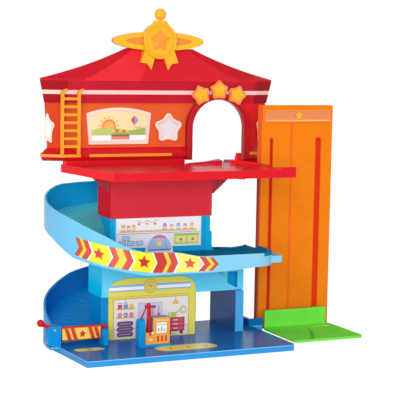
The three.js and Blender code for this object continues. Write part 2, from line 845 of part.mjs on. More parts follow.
function addMiddleStorey() {
  const outer = block(middleWallLeft, middleWallRight, buildingFront, buildingBack - wall, middleFloor,
    middleWallTop);
  const hollow = block(middleWallLeft + wall, middleWallRight - wall, buildingFront + wall,
    buildingBack + cutOverrun,
    middleFloor - cutOverrun, middleWallTop + cutOverrun);
  const ribRight = middleWallRight + middleRibStep;
  const rib = polygon([
    [middleWallRight - middleRibWidth, middleFloor], [ribRight + middleRibStep, middleFloor],
    [ribRight, middleFloor + middleRibWidth], [ribRight, middleFloor + middleRibHeight],
    [middleWallRight, middleFloor + middleRibHeight + wall],
    [middleWallRight, middleWallTop], [middleWallRight - middleRibWidth, middleWallTop],
  ]);
  const ribBody = pushedBack(rib, buildingFront - wall, buildingFront + wall);
  addPiece("middle_wall", outer.subtract(hollow).add(ribBody), cyan);

  const panelLeft = middleWallLeft + middleRibWidth;
  const panelRight = middleWallRight - middleRibWidth - 2 * middleRibStep;
  addPiece("middle_picture_panel",
    block(panelLeft, panelRight, buildingFront - cardThickness, buildingFront, middleFloor + middleRibWidth,
      middleWallTop), paleCard);

  // Places of the card's curve: shares of half its width, across and up
  const domeShares = [[1, 0], [0.86, 1], [0.3, 1.2], [0, 1.4]];
  const domeCentre = panelLeft + (panelRight - panelLeft) * domeShare;
  const place = (side, i) => [domeCentre + side * domeHalf * domeShares[i][0],
    middleFloor + domeHalf * domeShares[i][1]];
  const dome = new THREE.Shape();
  dome.moveTo(...place(-1, 0));
  dome.lineTo(...place(1, 0));
  dome.quadraticCurveTo(...place(1, 1), ...place(1, 2));
  dome.quadraticCurveTo(...place(1, 3), ...place(-1, 2));
  dome.quadraticCurveTo(...place(-1, 1), ...place(-1, 0));
  const domeBack = buildingFront - cardThickness - seatGap;
  addPiece("dome_card", pushedBack(dome, domeBack - cardThickness, domeBack), paleCard);
}

// Ramps

function rampStation(angle, floor, top, foot) {
  const c = Math.cos(angle);
  const s = Math.sin(angle);
  return {
    outer: [rampCentreX + rampRadius * c, rampCentreY + rampRadius * s],
    inner: [rampCentreX + rampInnerRadius * c, rampCentreY + rampInnerRadius * s],
    floor, top, foot,
  };
}

const quarter = Math.PI / 2;

function addUpperRamp() {
  // Shares of the half turn, each with a share of the drop from the straight's end to the middle floor
  const floorShares = [[0, 0], [0.2, 0.1], [0.5, 0.43], [0.83, 1], [1, 1]];
  const topShares = [[0, 0], [0.2, 0.02], [0.45, 0.23], [0.66, 0.43], [0.8, 0.66], [0.93, 0.93], [1, 1]];
  const footShares = [[0, 0], [0.4, 0.19], [0.48, 0.27], [0.55, 0.37], [0.61, 0.5], [0.68, 0.68], [0.74,
    0.75],
    [0.85, 0.86], [1, 1]];
  const turnFloor = deckTop - upperRampDrop;
  const turnTop = turnFloor + upperRampRise;
  const endTop = middleFloor + upperRampEndWall;
  const steps = 22;
  const startFoot = turnFloor - upperRampSkirt;
  const turn = [];
  for (let i = 0; i <= steps; i += 1) {
    const s = i / steps;
    turn.push(rampStation(quarter + s * 2 * quarter,
      turnFloor + (middleFloor - turnFloor) * along(floorShares, s),
      turnTop + (endTop - turnTop) * along(topShares, s),
      startFoot + (apronLow - startFoot) * along(footShares, s)));
  }
  const clearFront = buildingFront - cardThickness - seatGap;
  const keepClear = block(middleWallLeft - seatGap, middleWallRight, clearFront, buildingBack + seatGap,
    middleFloor - middleFloorThickness - seatGap, deckTop)
    .add(block(buildingLeft - seatGap, middleWallRight, clearFront, buildingBack + seatGap, 0,
      middleFloor + seatGap));
  const laneEnd = block(rampCentreX - seatGap, laneRight, 0, buildingFront, 0, middleFloor + laneCorner);
  addPiece("upper_ramp_turn", rampChannel(turn, 0).subtract(keepClear).subtract(laneEnd), lightBlue);

  // The inner edge steps back where the straight passes the red storey
  const straightStart = deckArmLeft - seatGap;
  const straightEnd = rampCentreX + seatGap;
  const stepX = mainRight + 2 * seatGap;
  const wide = deckHoleFront + seatGap;
  const narrow = buildingBack + seatGap;
  const places = [[straightStart, wide], [(straightStart + stepX) / 2, wide], [stepX, wide],
    [stepX - seatGap, narrow], [(stepX + straightEnd) / 2, narrow], [straightEnd, narrow]];
  const straight = places.map(([x, innerY]) => {
    const s = (straightStart - x) / (straightStart - straightEnd);
    return {
      outer: [x, rampCentreY + rampRadius],
      inner: [x, innerY],
      floor: deckTop - wall + (turnFloor - deckTop + wall) * s,
      top: deckTop + (turnTop - deckTop) * s,
      foot: boxTop + (startFoot - boxTop) * s,
    };
  });
  addPiece("upper_ramp_straight", rampChannel(straight, rampCurbHeight), lightBlue);
}

function addLowerRamp() {
  const turnFloor = baseHeight + lowerRampRise;
  const turnTop = turnFloor + lowerRampWall;
  const turnShare = 1.108;
  const steps = 14;
  const floorShares = [[0, 0], [0.2, 0.1], [0.42, 0.42], [0.7, 0.7], [1, 1]];
  const topShares = [[0, 0], [0.2, 0.12], [0.45, 0.38], [0.7, 0.6], [1, 1]];
  const endTop = baseHeight + lowerRampEndWall;
  const riseShare = 1.3;
  const landing = baseHeight + rampFloorThickness + 2 * seatGap;
  const turn = [];
  for (let i = 0; i <= steps; i += 1) {
    const s = i / steps;
    const floor = turnFloor + (landing - turnFloor) * along(floorShares, s);
    turn.push(rampStation(quarter + quarter * turnShare * s, floor,
      turnTop + (endTop - turnTop) * along(topShares, s),
      Math.max(baseHeight + seatGap, floor - rampSkirt)));
  }
  const keepClear = block(buildingLeft - seatGap, mainRight,
    buildingFront - storeyProud - cardThickness - seatGap,
    buildingBack + seatGap, 0, middleFloor).add(gateRoom());
  addPiece("lower_ramp_turn", rampChannel(turn, 0).subtract(keepClear), darkBlue);

  // From the end of the lane, round the back corner of the building and along its back
  const backRadius = rampCentreY + rampRadius - buildingBack;
  const cornerX = laneRight - backRadius;
  const laneInnerX = mainRight + laneInnerStep;
  const laneInnerY = buildingFront - laneInnerProud;
  const innerX = laneInnerX + wall;
  const innerY = buildingBack + seatGap;
  const laneEndSlope = (laneBack - laneInnerY) / (laneRight - laneInnerX);
  const startY = laneInnerY + wall * laneEndSlope + 2 * seatGap;
  const sideShare = 0.18;
  const cornerShare = 0.25;
  const places = [[[laneRight, laneBack + 2 * seatGap], [innerX, startY], 0],
    [[laneRight, (laneBack + buildingBack) / 2], [innerX, (startY + buildingBack) / 2], sideShare / 2],
    [[laneRight, buildingBack], [innerX, buildingBack - wall], sideShare]];
  const cornerSteps = 8;
  for (let i = 1; i <= cornerSteps; i += 1) {
    const a = (quarter * i) / cornerSteps;
    places.push([[cornerX + backRadius * Math.cos(a), buildingBack + backRadius * Math.sin(a)],
      [innerX - 2 * wall * (1 - Math.cos(a)), innerY + wall * Math.sin(a)],
      sideShare + (cornerShare * i) / cornerSteps]);
  }
  places.push([[rampCentreX + seatGap, rampCentreY + rampRadius], [rampCentreX + seatGap, innerY + wall], 1]);
  const stations = places.map(([outer, inner, s]) => {
    const floor = middleFloor + (turnFloor - middleFloor) * s;
    const rise = lowRampCurb + (turnTop - turnFloor - lowRampCurb) * s ** riseShare;
    return { outer, inner, floor, top: floor + rise, foot: floor - rampSkirt };
  });
  addPiece("lower_ramp_straight", rampChannel(stations, lowRampCurb), darkBlue);
}

// Red storey under the deck, its gussets, and the deck

function addUpperStorey() {
  const shell = block(middleWallLeft, mainRight, buildingFront - storeyProud, buildingBack - wall,
    middleWallTop, boxTop);
  const hollow = block(middleWallLeft + wall, mainRight - wall, buildingFront - storeyProud + wall,
    buildingBack + cutOverrun, middleWallTop + wall, boxTop - wall);
  addPiece("upper_storey_box", shell.subtract(hollow), red);

  const gussetTop = deckTop - deckThickness - seatGap;
  const right = polygon([
    [mainRight + seatGap, gussetTop], [mainRight + seatGap, boxTop - gussetDropRight],
    [mainRight + wall, boxTop - gussetDropRight], [mainRight + gussetReachRight, boxTop - wall],
    [mainRight + gussetReachRight, gussetTop],
  ]);
  addPiece("gusset_right", pushedBack(right, buildingFront, buildingFront + wall), darkRed);
  const gussetLeft = deckLeftAt(buildingFront) + thinWall + gussetGap;
  const left = polygon([
    [gussetLeft, gussetTop], [gussetLeft, boxTop],
    [middleWallLeft - wall, boxTop - gussetDrop], [middleWallLeft - seatGap, boxTop - gussetDrop],
    [middleWallLeft - seatGap, gussetTop],
  ]);
  addPiece("gusset_left", pushedBack(left, buildingFront, buildingFront + wall), darkRed);
}

// Where the deck's slanting left edge is at a depth y
function deckLeftAt(y) {
  const share = (y - deckFront) / (houseFront + deckBehind - deckFront);
  const frontLeft = buildingLeft - deckFrontInset;
  return frontLeft + (deckBackLeft - frontLeft) * share;
}

function deckOutline(inset) {
  return polygon([
    [buildingLeft - deckFrontInset + inset, deckFront + inset],
    [tongueEnd - inset, deckFront + inset],
    [tongueEnd - inset, deckFront + tongueWidth - inset],
    [deckRight - inset, deckFront + tongueWidth - inset],
    [deckRight - inset, deckArmFront + inset],
    [tongueEnd - inset, deckArmFront + inset],
    [tongueEnd - inset, houseBack - deckArmStep + inset],
    [deckArmEnd - inset, houseBack - deckArmStep + inset],
    [deckArmEnd - inset, houseBack - inset],
    [deckArmLeft + inset, houseBack - inset],
    [deckArmLeft + inset, deckHoleFront - inset],
    [deckHoleLeft - inset, deckHoleFront - inset],
    [deckHoleLeft - inset, houseFront + deckBehind - inset],
    [deckBackLeft + inset, houseFront + deckBehind - inset],
  ]);
}

function addDeck() {
  const low = boxTop;
  const mid = deckTop - deckThickness / 2;
  const plate = raised(deckOutline(0), low, deckTop)
    .subtract(raised(deckOutline(thinWall), low - cutOverrun, deckTop - deckThickness));
  const holeRim = pushedBack(polygon([
    [mainRight + wall, mid], [mainRight + wall, low - holeRimDrop / 2], [deckArmLeft - 2 * deckRib,
    low - holeRimDrop],
    [deckArmLeft + deckRib, low], [deckArmLeft + deckRib, mid],
  ]), deckHoleFront - thinWall, deckHoleFront);
  // Ribs by which the deck rests on the red storey
  const ribs = [buildingFront, buildingFront + deckHoleBehind - 2 * thinWall].map((y) =>
    block(middleWallLeft, mainRight, y, y + thinWall, low, mid));
  const ledgeFront = houseFront - plinthProud + wall;
  const ledge = block(deckBackLeft + wall, archCentre - archRadius - archFrameWidth - seatGap - deckRib,
    ledgeFront,
    houseFront + deckBehind, mid, plinthLow);
  const ledgeEnd = block(archCentre + archRadius + archFrameWidth + seatGap, deckArmEnd,
    houseBack - deckArmStep,
    houseBack, mid, plinthLow);
  const lip = block(tongueEnd - tongueLipLength, tongueEnd, deckFront, deckFront + wall, mid,
    deckTop + tongueLip);
  addPiece("deck", joined([plate, holeRim, ...ribs, ledge, ledgeEnd, lip]), red);
}

// Two low rails along the ramp's mouth, each a wedge on the deck with a rounded top
function railAlong(from, to, startHeight, endHeight) {
  const a = new THREE.Vector2(from[0], from[1]);
  const b = new THREE.Vector2(to[0], to[1]);
  const length = a.distanceTo(b);
  const shape = polygon([[0, 0], [length, 0], [length, endHeight], [0, startHeight]]);
  const geometry = new THREE.ExtrudeGeometry(shape, { depth: railThickness, bevelEnabled: false });
  geometry.rotateX(Math.PI / 2);
  geometry.rotateZ(Math.atan2(b.y - a.y, b.x - a.x));
  geometry.translate(a.x, a.y, deckTop + seatGap);
  return solid(geometry);
}

function addRails() {
  const leftFrom = [deckHoleLeft - railHeight, deckHoleFront];
  const leftTo = [archCentre - railMouth / 2 - railThickness, deckHoleFront - railThickness];
  addPiece("deck_rail_left", railAlong(leftFrom, leftTo, railStartHeight, railHeight), red);
  const rightFrom = [archCentre + railMouth / 2 - railThickness, deckHoleFront - railThickness];
  const rightTo = [deckRight, deckArmFront + railPostWidth];
  const rail = railAlong(rightFrom, rightTo, railHeight, railEndHeight);
  const [postX, postY] = rightFrom.map((from, i) => from + (rightTo[i] - from) * railPostShare);
  const post = block(postX, postX + railPostWidth, postY - railPostDepth / 2, postY + railPostDepth / 2,
    deckTop + seatGap, deckTop + railPostHeight);
  addPiece("deck_rail_right", rail.add(post), red);
}

// House: every ring of its walls, valance and roof is one folded plan line scaled in width

function housePlan(halfWidth, proud, back) {
  const fold = (houseFold / houseHalfWidth) * halfWidth;
  const front = houseFront - proud;
  const end = houseFront + houseFoldDepth - proud / 2;
  const returned = ((back - end) / (houseBack - houseFront)) * houseReturn;
  return [
    [houseCentre - halfWidth + returned, back], [houseCentre - halfWidth, end], [houseCentre - fold, front],
    [houseCentre + fold, front], [houseCentre + halfWidth, end], [houseCentre + halfWidth - returned, back],
  ];
}

function stackedLoft(rings) {
  const loops = rings.map(({ plan, height }) => plan.map(([x, y]) => new THREE.Vector3(x, y, height)));
  const flat = (ring) => ring.plan.map(([x, y]) => new THREE.Vector2(x, y));
  return loft(loops, flat(rings[0]), flat(rings[rings.length - 1]));
}

// A shell that follows the house plan, open behind; each level gives height, half width and how proud it
// stands
function houseShell(levels, thickness, closedTop, closedBottom) {
  const outer = stackedLoft(levels.map(([height, halfWidth, proud]) =>
    ({ height, plan: housePlan(halfWidth, proud, houseBack) })));
  const last = levels.length - 1;
  const inner = stackedLoft(levels.map(([height, halfWidth, proud], i) => ({
    height: i === 0 ? height + (closedBottom ? thickness : -cutOverrun)
      : i === last ? height + (closedTop ? -thickness : cutOverrun) : height,
    plan: housePlan(halfWidth - thickness, proud - thickness, houseBack + cutOverrun),
  })));
  return outer.subtract(inner);
}

function archOutline(radius, low) {
  const shape = new THREE.Shape();
  shape.moveTo(archCentre - radius, low);
  shape.lineTo(archCentre + radius, low);
  shape.lineTo(archCentre + radius, archSpring);
  shape.absarc(archCentre, archSpring, radius, 0, Math.PI, false);
  shape.closePath();
  return shape;
}

function archCut(clearance) {
  const front = houseFront - plinthProud - cutOverrun - archFrameDepth;
  return pushedBack(archOutline(archRadius + archFrameWidth + clearance, plinthLow - cutOverrun), front,
    houseBack + cutOverrun, roundSteps);
}

function addHouseWalls() {
  const walls = houseShell([[plinthTop, houseHalfWidth - houseTaper, 0], [houseWallTop, houseHalfWidth, 0]],
    houseWall, false, false);
  const cut = walls.subtract(archCut(seatGap));
  const leftPart = block(houseCentre - 2 * houseHalfWidth, archCentre, 0, houseBack, plinthTop, houseWallTop);
  const rightPart = block(archCentre, houseCentre + 2 * houseHalfWidth, 0, houseBack, plinthTop,
    houseWallTop);
  addPiece("house_wall", cut.intersect(leftPart), wallOrange);
  addPiece("house_end_wall", cut.intersect(rightPart), red);

  const plinth = houseShell([
    [plinthLow, houseHalfWidth + plinthFoot, plinthFoot],
    [trimLow, houseHalfWidth + plinthSpread, plinthProud],
    [plinthShoulder, houseHalfWidth + plinthSpread, plinthProud],
    [plinthTop, houseHalfWidth - houseTaper, 0],
  ], houseWall, false, false).subtract(archCut(seatGap));
  const leftPlinth = plinth.intersect(block(houseCentre - 2 * houseHalfWidth, archCentre, 0, houseBack, 0,
    plinthTop));
  const rightPlinth = plinth.intersect(block(archCentre, houseCentre + 2 * houseHalfWidth, 0, houseBack, 0,
    plinthTop));
  addPiece("house_plinth", leftPlinth, red);
  addPiece("house_plinth_end", rightPlinth, red);
}

// Yellow trims: thin bars that follow the plinth's shoulder between two places across the front
function addTrims() {
  const band = stackedLoft([trimLow, trimLow + trimHeight].map((height) => ({
    height, plan: housePlan(houseHalfWidth + plinthSpread + trimProud + seatGap,
      plinthProud + trimProud + seatGap,
      houseBack),
  })));
  const inner = stackedLoft([trimLow - cutOverrun, trimLow + trimHeight + cutOverrun].map((height) => ({
    height, plan: housePlan(houseHalfWidth + plinthSpread + seatGap, plinthProud + seatGap,
      houseBack + cutOverrun),
  })));
  const trim = band.subtract(inner);
  const archLeft = archCentre - archRadius - archFrameWidth - seatGap;
  const archRight = archCentre + archRadius + archFrameWidth + seatGap;
  const places = [
    ["trim_corner", houseCentre - 2 * houseHalfWidth, ladderLeft + ladderWidth + ladderRail],
    ["trim_front", ladderLeft + ladderWidth + trimGap, archLeft - ladderWidth],
    ["trim_end", archRight, houseCentre + 2 * houseHalfWidth],
  ];
  places.forEach(([name, left, right]) => {
    addPiece(name, trim.intersect(block(left, right, 0, houseBack - wall, 0, deckTop + deckTop)), yellow);
  });
}

function addRoof() {
  const valance = houseShell([
    [houseWallTop, houseHalfWidth + cutOverrun, eaveProud / 2],
    [eaveHeight - eaveDrop, houseHalfWidth + eaveSpread, eaveProud],
  ], houseWall, false, false);
  addPiece("valance", valance.subtract(archCut(seatGap)), darkRed);

  // Each ring runs from the back left corner round the front: end corner, two folds, and the same on the
  // right
  const half = houseHalfWidth + eaveSpread;
  const foldShare = 0.66;
  const midShare = 0.3;
  const eaveFront = houseFront - eaveProud;
  const eaveEnd = houseFront + houseFoldDepth - eaveProud / 2;
  const ring = (share, inset, back, drop, height) => {
    const width = half + (roofTopHalfWidth - half) * share - inset;
    const fold = half * foldShare + (roofFoldHalfWidth - half * foldShare) * share - inset;
    const middle = half * midShare + (roofFoldHalfWidth / 2 - half * midShare) * share - inset;
    const front = eaveFront + (roofTopFront - eaveFront) * share + inset;
    const end = eaveEnd + (roofTopFront + wall - eaveEnd) * share + inset;
    const rear = houseCentre - width + houseReturn;
    const points = [[rear, back, 0], [houseCentre - width, end, drop], [houseCentre - fold, front, 0],
      [houseCentre - middle, front, 0]];
    const mirrored = points.map(([x, y, z]) => [2 * houseCentre - x, y, z]).reverse();
    return points.concat(mirrored).map(([x, y, z]) => new THREE.Vector3(x, y, height - z));
  };
  const body = (inset, back, low, knee, high) => {
    const loops = [ring(0, inset, back, 0, low), ring(0, inset, back, eaveDrop, eaveHeight),
      ring(roofKneeShare, inset, back, 0, knee), ring(1, inset, back, 0, high)];
    const flat = (loop) => loop.map((point) => new THREE.Vector2(point.x, point.y));
    return loft(loops, flat(loops[0]), flat(loops[loops.length - 1]));
  };
  const low = eaveHeight - eaveDrop;
  const outer = body(0, houseBack, low, roofKneeHeight, roofTop);
  const inner = body(houseWall, houseBack + cutOverrun, low - cutOverrun, roofKneeHeight - wall,
    roofTop - wall);
  addPiece("roof", outer.subtract(inner), red);
  return outer.translate([0, -seatGap, 0]);
}

function addArch() {
  const front = houseFront - archFrameDepth;
  const back = houseFront + houseWall / 2;
  const outer = pushedBack(archOutline(archRadius + archFrameWidth, archFoot), front, back, roundSteps);
  const middle = pushedBack(archOutline(archRadius + archFrameWidth / 2, archFoot - cutOverrun),
    front - cutOverrun,
    front + wall, roundSteps);
  const inner = pushedBack(archOutline(archRadius, archFoot - cutOverrun), front - cutOverrun,
    back + cutOverrun,
    roundSteps);
  addPiece("arch_frame", outer.subtract(middle).subtract(inner), red);

  const starBack = front;
  const places = [["arch_star_left", -1, 0], ["arch_star_middle", 0, archStarRise], ["arch_star_right", 1,
    0]];
  places.forEach(([name, side, rise]) => {
    const x = archCentre - wall + side * archStarSpread;
    const z = archSpring + archRadius + archStarLift + rise;
    const shape = star(x, z, archStarRadius, fatStarShare, -side * archStarTilt);
    addPiece(name, pushedBack(shape, starBack - archStarThickness, starBack, starSteps), yellow);
  });
}

// Window with a crowned top, its picture, and the star windows

function windowOutline(inset) {
  const top = windowTopWidth / 2 - inset;
  const bottom = windowBottomWidth / 2 - inset;
  const shape = new THREE.Shape();
  shape.moveTo(windowCentre - bottom, windowLow + inset);
  shape.lineTo(windowCentre + bottom, windowLow + inset);
  shape.lineTo(windowCentre + top, windowHigh - inset);
  shape.quadraticCurveTo(windowCentre, windowHigh + 2 * windowCrown - inset, windowCentre - top,
    windowHigh - inset);
  shape.closePath();
  return shape;
}

function addWindows() {
  const back = houseFront - seatGap;
  const crownSteps = 2 * arcSteps;
  const frame = pushedBack(windowOutline(0), back - windowProud, back, crownSteps)
    .subtract(pushedBack(windowOutline(windowBorder), back - windowProud - cutOverrun, back + cutOverrun,
      crownSteps));
  addPiece("window_frame", frame, paleTrim);
  addPiece("window_picture", pushedBack(windowOutline(windowBorder + seatGap), back - windowProud / 2, back,
    crownSteps), paleCard);

  const starFrame = (x, z, radius, near, far, squash) => {
    const plate = pushedBack(star(x, z, radius, starShare, 0, squash), near, far, starSteps);
    return plate.subtract(pushedBack(star(x, z, radius - starWindowBorder, starShare, 0, squash),
      near - cutOverrun,
      near + windowProud / 2, starSteps));
  };
  addPiece("star_window", starFrame(starWindowX, starWindowZ, starWindowRadius, back - windowProud, back, 1),
    paleTrim);

  // The end windows lie on the folded ends, cut off at the corners of the house
  [["star_window_left", -1], ["star_window_right", 1]].forEach(([name, side]) => {
    const foldAngle = Math.atan2(houseFoldDepth, houseHalfWidth - houseFold);
    const plate = starFrame(0, starWindowZ, starWindowRadius, -windowProud, wall, sideStarShare);
    const reach = houseHalfWidth - houseTaper / 2;
    const placed = plate.rotate([0, 0, (side * foldAngle * 180) / Math.PI])
      .translate([houseCentre + side * reach, houseFront + houseFoldDepth, 0]);
    const edge = houseCentre + side * (reach - houseTaper / 2);
    const keep = block(Math.min(edge, archCentre), Math.max(edge, archCentre), 0, houseBack, 0, roofTop);
    const wallBody = stackedLoft([plinthTop, houseWallTop].map((height, i) => ({
      height, plan: housePlan(houseHalfWidth - (i ? 0 : houseTaper) + seatGap, seatGap, houseBack),
    })));
    addPiece(name, placed.intersect(keep).subtract(wallBody), paleTrim);
  });
}

// Ladder: two rails with hooked tops and flat rungs

function addLadder() {
  const front = houseFront - plinthProud - trimProud - ladderRail;
  const back = front + ladderRail - seatGap;
  const railShape = (x) => {
    const shape = new THREE.Shape();
    shape.moveTo(x - ladderRail / 2, ladderFoot);
    shape.lineTo(x + ladderRail / 2, ladderFoot);
    shape.lineTo(x + ladderRail / 2, ladderTop - ladderHook);
    shape.quadraticCurveTo(x + ladderRail / 2, ladderTop - ladderRail, x + ladderHook,
      ladderTop - ladderRail / 2);
    shape.lineTo(x + ladderHook, ladderTop);
    shape.quadraticCurveTo(x - ladderRail / 2, ladderTop, x - ladderRail / 2, ladderTop - ladderHook);
    shape.closePath();
    return shape;
  };
  const bodies = [ladderLeft, ladderLeft + ladderWidth].map((x) => pushedBack(railShape(x), front, back));
  for (let i = 0; i < ladderRungs; i += 1) {
    const z = ladderTop - 2 * ladderHook - i * ladderRungPitch;
    bodies.push(block(ladderLeft, ladderLeft + ladderWidth, front + ladderRungSet, back - ladderRungSet,
      z - ladderRungHeight / 2, z + ladderRungHeight / 2));
  }
  addPiece("ladder", joined(bodies), yellow);
}

// Emblem: an oval plate, ribbon tails, a medal with a star, and a finial

function addEmblem(roofClearance) {
  const back = roofTopFront + emblemSeat;
  const seated = (body) => body.subtract(roofClearance).subtract(block(emblemCentreX - plateHalfWidth,
    emblemCentreX + plateHalfWidth, roofTopFront - seatGap, back + cutOverrun, 0, roofTop + seatGap));
  const plateBack = roofTopFront - seatGap;
  const plateFront = emblemFront + medalThickness;
  const oval = (grow, near, far) => pushedBack(ellipse(emblemCentreX, emblemCentreZ, plateHalfWidth + grow,
    plateHalfHeight + grow), near, far, roundSteps);
  const inset = pushedBack(ellipse(emblemCentreX, emblemCentreZ, plateInsetWidth, plateInsetHeight),
    plateFront - cutOverrun, plateFront + plateInsetDepth, roundSteps);
  addPiece("emblem_plate", seated(oval(0, plateFront, plateBack).subtract(inset)), yellow);

  const round = (radius, near, far) => pushedBack(ellipse(emblemCentreX, emblemCentreZ, radius, radius),
    near, far,
    roundSteps);
  const disc = round(medalRadius, emblemFront, plateBack).subtract(oval(seatGap, plateFront, back));
  const dish = round(medalRadius - medalRim, emblemFront - cutOverrun, emblemFront + medalRimDepth);
  const [rootLow, shoulder, waist] = medalNeckShares.map((share) => emblemCentreZ + medalRadius * share);
  const points = [[0, rootLow], [finialShoulder, rootLow], [finialShoulder, shoulder], [finialNeckLow, waist],
    [finialNeckHigh, finialNeckTop], [0, finialNeckTop]];
  const neckShape = polygon(points.map(([u, v]) => [emblemCentreX + u, v])
    .concat(points.slice(1, -1).reverse().map(([u, v]) => [emblemCentreX - u, v])));
  const neck = pushedBack(neckShape, emblemFront, plateFront);
  const keptDisc = largest(seated(disc));
  addPiece("emblem_medal", keptDisc.add(neck).subtract(dish), yellow);

  const ball = new THREE.SphereGeometry(finialBall, ballSteps, ballSteps / 2);
  ball.rotateX(Math.PI / 2);
  ball.translate(emblemCentreX, (emblemFront + plateFront) / 2, finialNeckTop + finialBall);
  const flat = block(emblemCentreX - finialBall, emblemCentreX + finialBall, emblemFront - finialBall,
    plateFront + finialBall, rootLow, finialNeckTop + seatGap);
  addPiece("finial_ball", solid(ball).subtract(flat), yellow);

  const starBack = emblemFront + medalRimDepth;
  addPiece("emblem_star", pushedBack(star(emblemCentreX, emblemCentreZ, medalStarRadius),
    starBack - medalStarThickness, starBack), orange);

  // Each ribbon tail comes out from behind the medal, rests on the roof and ends in a notch
  const ribbonShares = [0.3, 1, 1.28, 0.85, 0.58];
  [["ribbon_left", -1], ["ribbon_right", 1]].forEach(([name, side]) => {
    const low = emblemCentreZ - ribbonDrop;
    const high = emblemCentreZ - medalRadius / 2;
    const heights = [high - ribbonNotch, high, low + ribbonNotch + wall / 2, low + ribbonNotch, low];
    const outline = ribbonShares.map((share, i) => [emblemCentreX + side * ribbonWidth * share, heights[i]]);
    const ribbonFront = emblemFront + medalRimDepth;
    const tail = pushedBack(polygon(side < 0 ? outline.reverse() : outline), ribbonFront, plateBack)
      .subtract(round(medalRadius + seatGap, ribbonFront - cutOverrun, back))
      .subtract(oval(seatGap, plateFront, back));
    addPiece(name, largest(seated(tail)), yellow);
  });
}

// The largest of the bodies that a cut has left
function largest(body) {
  return body.decompose().reduce((best, part) => (part.volume() > best.volume() ? part : best));
}

// Pay station: foot with column and back, orange board, lever and its pin

function addStation() {
  const low = baseHeight;
  const boardFront = stationFront;
  const boardBack = boardFront + boardThickness;
  const bodyFront = boardBack;
  const bodyBack = boardFront + stationDepth;
  const columnRight = stationLeft + columnWidth;
  const bayRight = columnRight + leverBay;
  const right = stationLeft + columnWidth + leverBay + boardTallWidth;
  const footTop = low + stationFootHeight;
  const foot = raised(roundedRectangle(stationLeft, boardFront - wall, right + wall, bodyBack, wall), low,
    footTop);
  const columnShape = new THREE.Shape();
  columnShape.moveTo(bodyFront, low);
  columnShape.lineTo(bodyBack, low);
  columnShape.lineTo(bodyBack, low + columnHeight - stationDepth / 2);
  columnShape.absarc((bodyFront + bodyBack) / 2, low + columnHeight - stationDepth / 2,
    (bodyBack - bodyFront) / 2, 0,
    Math.PI, false);
  columnShape.closePath();
  const column = pushedRight(columnShape, stationLeft, columnRight);
  const backBlock = block(bayRight, right, bodyFront, bodyBack, low, low + boardLowHeight)
    .add(block(bayRight, right, bodyFront, bodyBack, low, low + boardTallHeight));
  const pivotY = (bodyFront + bodyBack) / 2;
  const pivotZ = low + leverPivotHeight;
  const pinHole = barAlongX(pivotY, pivotZ, leverPinRadius + seatGap, columnRight - columnWidth / 2,
    bayRight + leverPinSeat);
  addPiece("station_body", joined([foot, column, backBlock]).subtract(pinHole), blue);

  const boardLow = footTop + seatGap;
  const board = polygon([
    [columnRight, boardLow], [right, boardLow], [right, low + boardTallHeight], [bayRight,
    low + boardTallHeight],
    [bayRight, low + boardLowHeight], [columnRight, low + boardLowHeight],
  ]);
  addPiece("station_board", pushedBack(board, boardFront, boardBack), orange);

  const leverLeft = columnRight + leverOffset;
  const lever = new THREE.Shape();
  const top = pivotZ + leverHeight;
  lever.moveTo(pivotY - leverWidth / 2, pivotZ);
  lever.absarc(pivotY, pivotZ, leverWidth / 2, Math.PI, Math.PI * 2, false);
  lever.quadraticCurveTo(pivotY + leverWidth / 2 - leverBow, (pivotZ + top) / 2, pivotY + leverWidth / 4,
    top);
  lever.lineTo(pivotY - leverWidth / 2, top);
  lever.quadraticCurveTo(pivotY - leverWidth / 2 - leverBow, (pivotZ + top) / 2, pivotY - leverWidth / 2,
    pivotZ);
  const leverBody = pushedRight(lever, leverLeft, leverLeft + leverThickness);
  addPiece("station_lever", leverBody.subtract(barAlongX(pivotY, pivotZ, leverPinRadius + seatGap,
    leverLeft - cutOverrun, leverLeft + leverThickness + cutOverrun)), red);
  addPiece("station_lever_pin", barAlongX(pivotY, pivotZ, leverPinRadius,
    columnRight - columnWidth / 2 + seatGap,
    bayRight + leverPinSeat - seatGap), steel);
}

// Barrier: slotted post, stop post, arm with knob, hanging panel and pin

// The space that the arm and its knob sweep at the ramp's end
function gateRoom() {
  return block(gatePostLeft - gateKnobReach * 2, gatePostLeft + gatePostWidth + wall, gatePostFront - wall,
    gatePostFront + gatePostDepth + seatGap, 0, middleFloor);
}

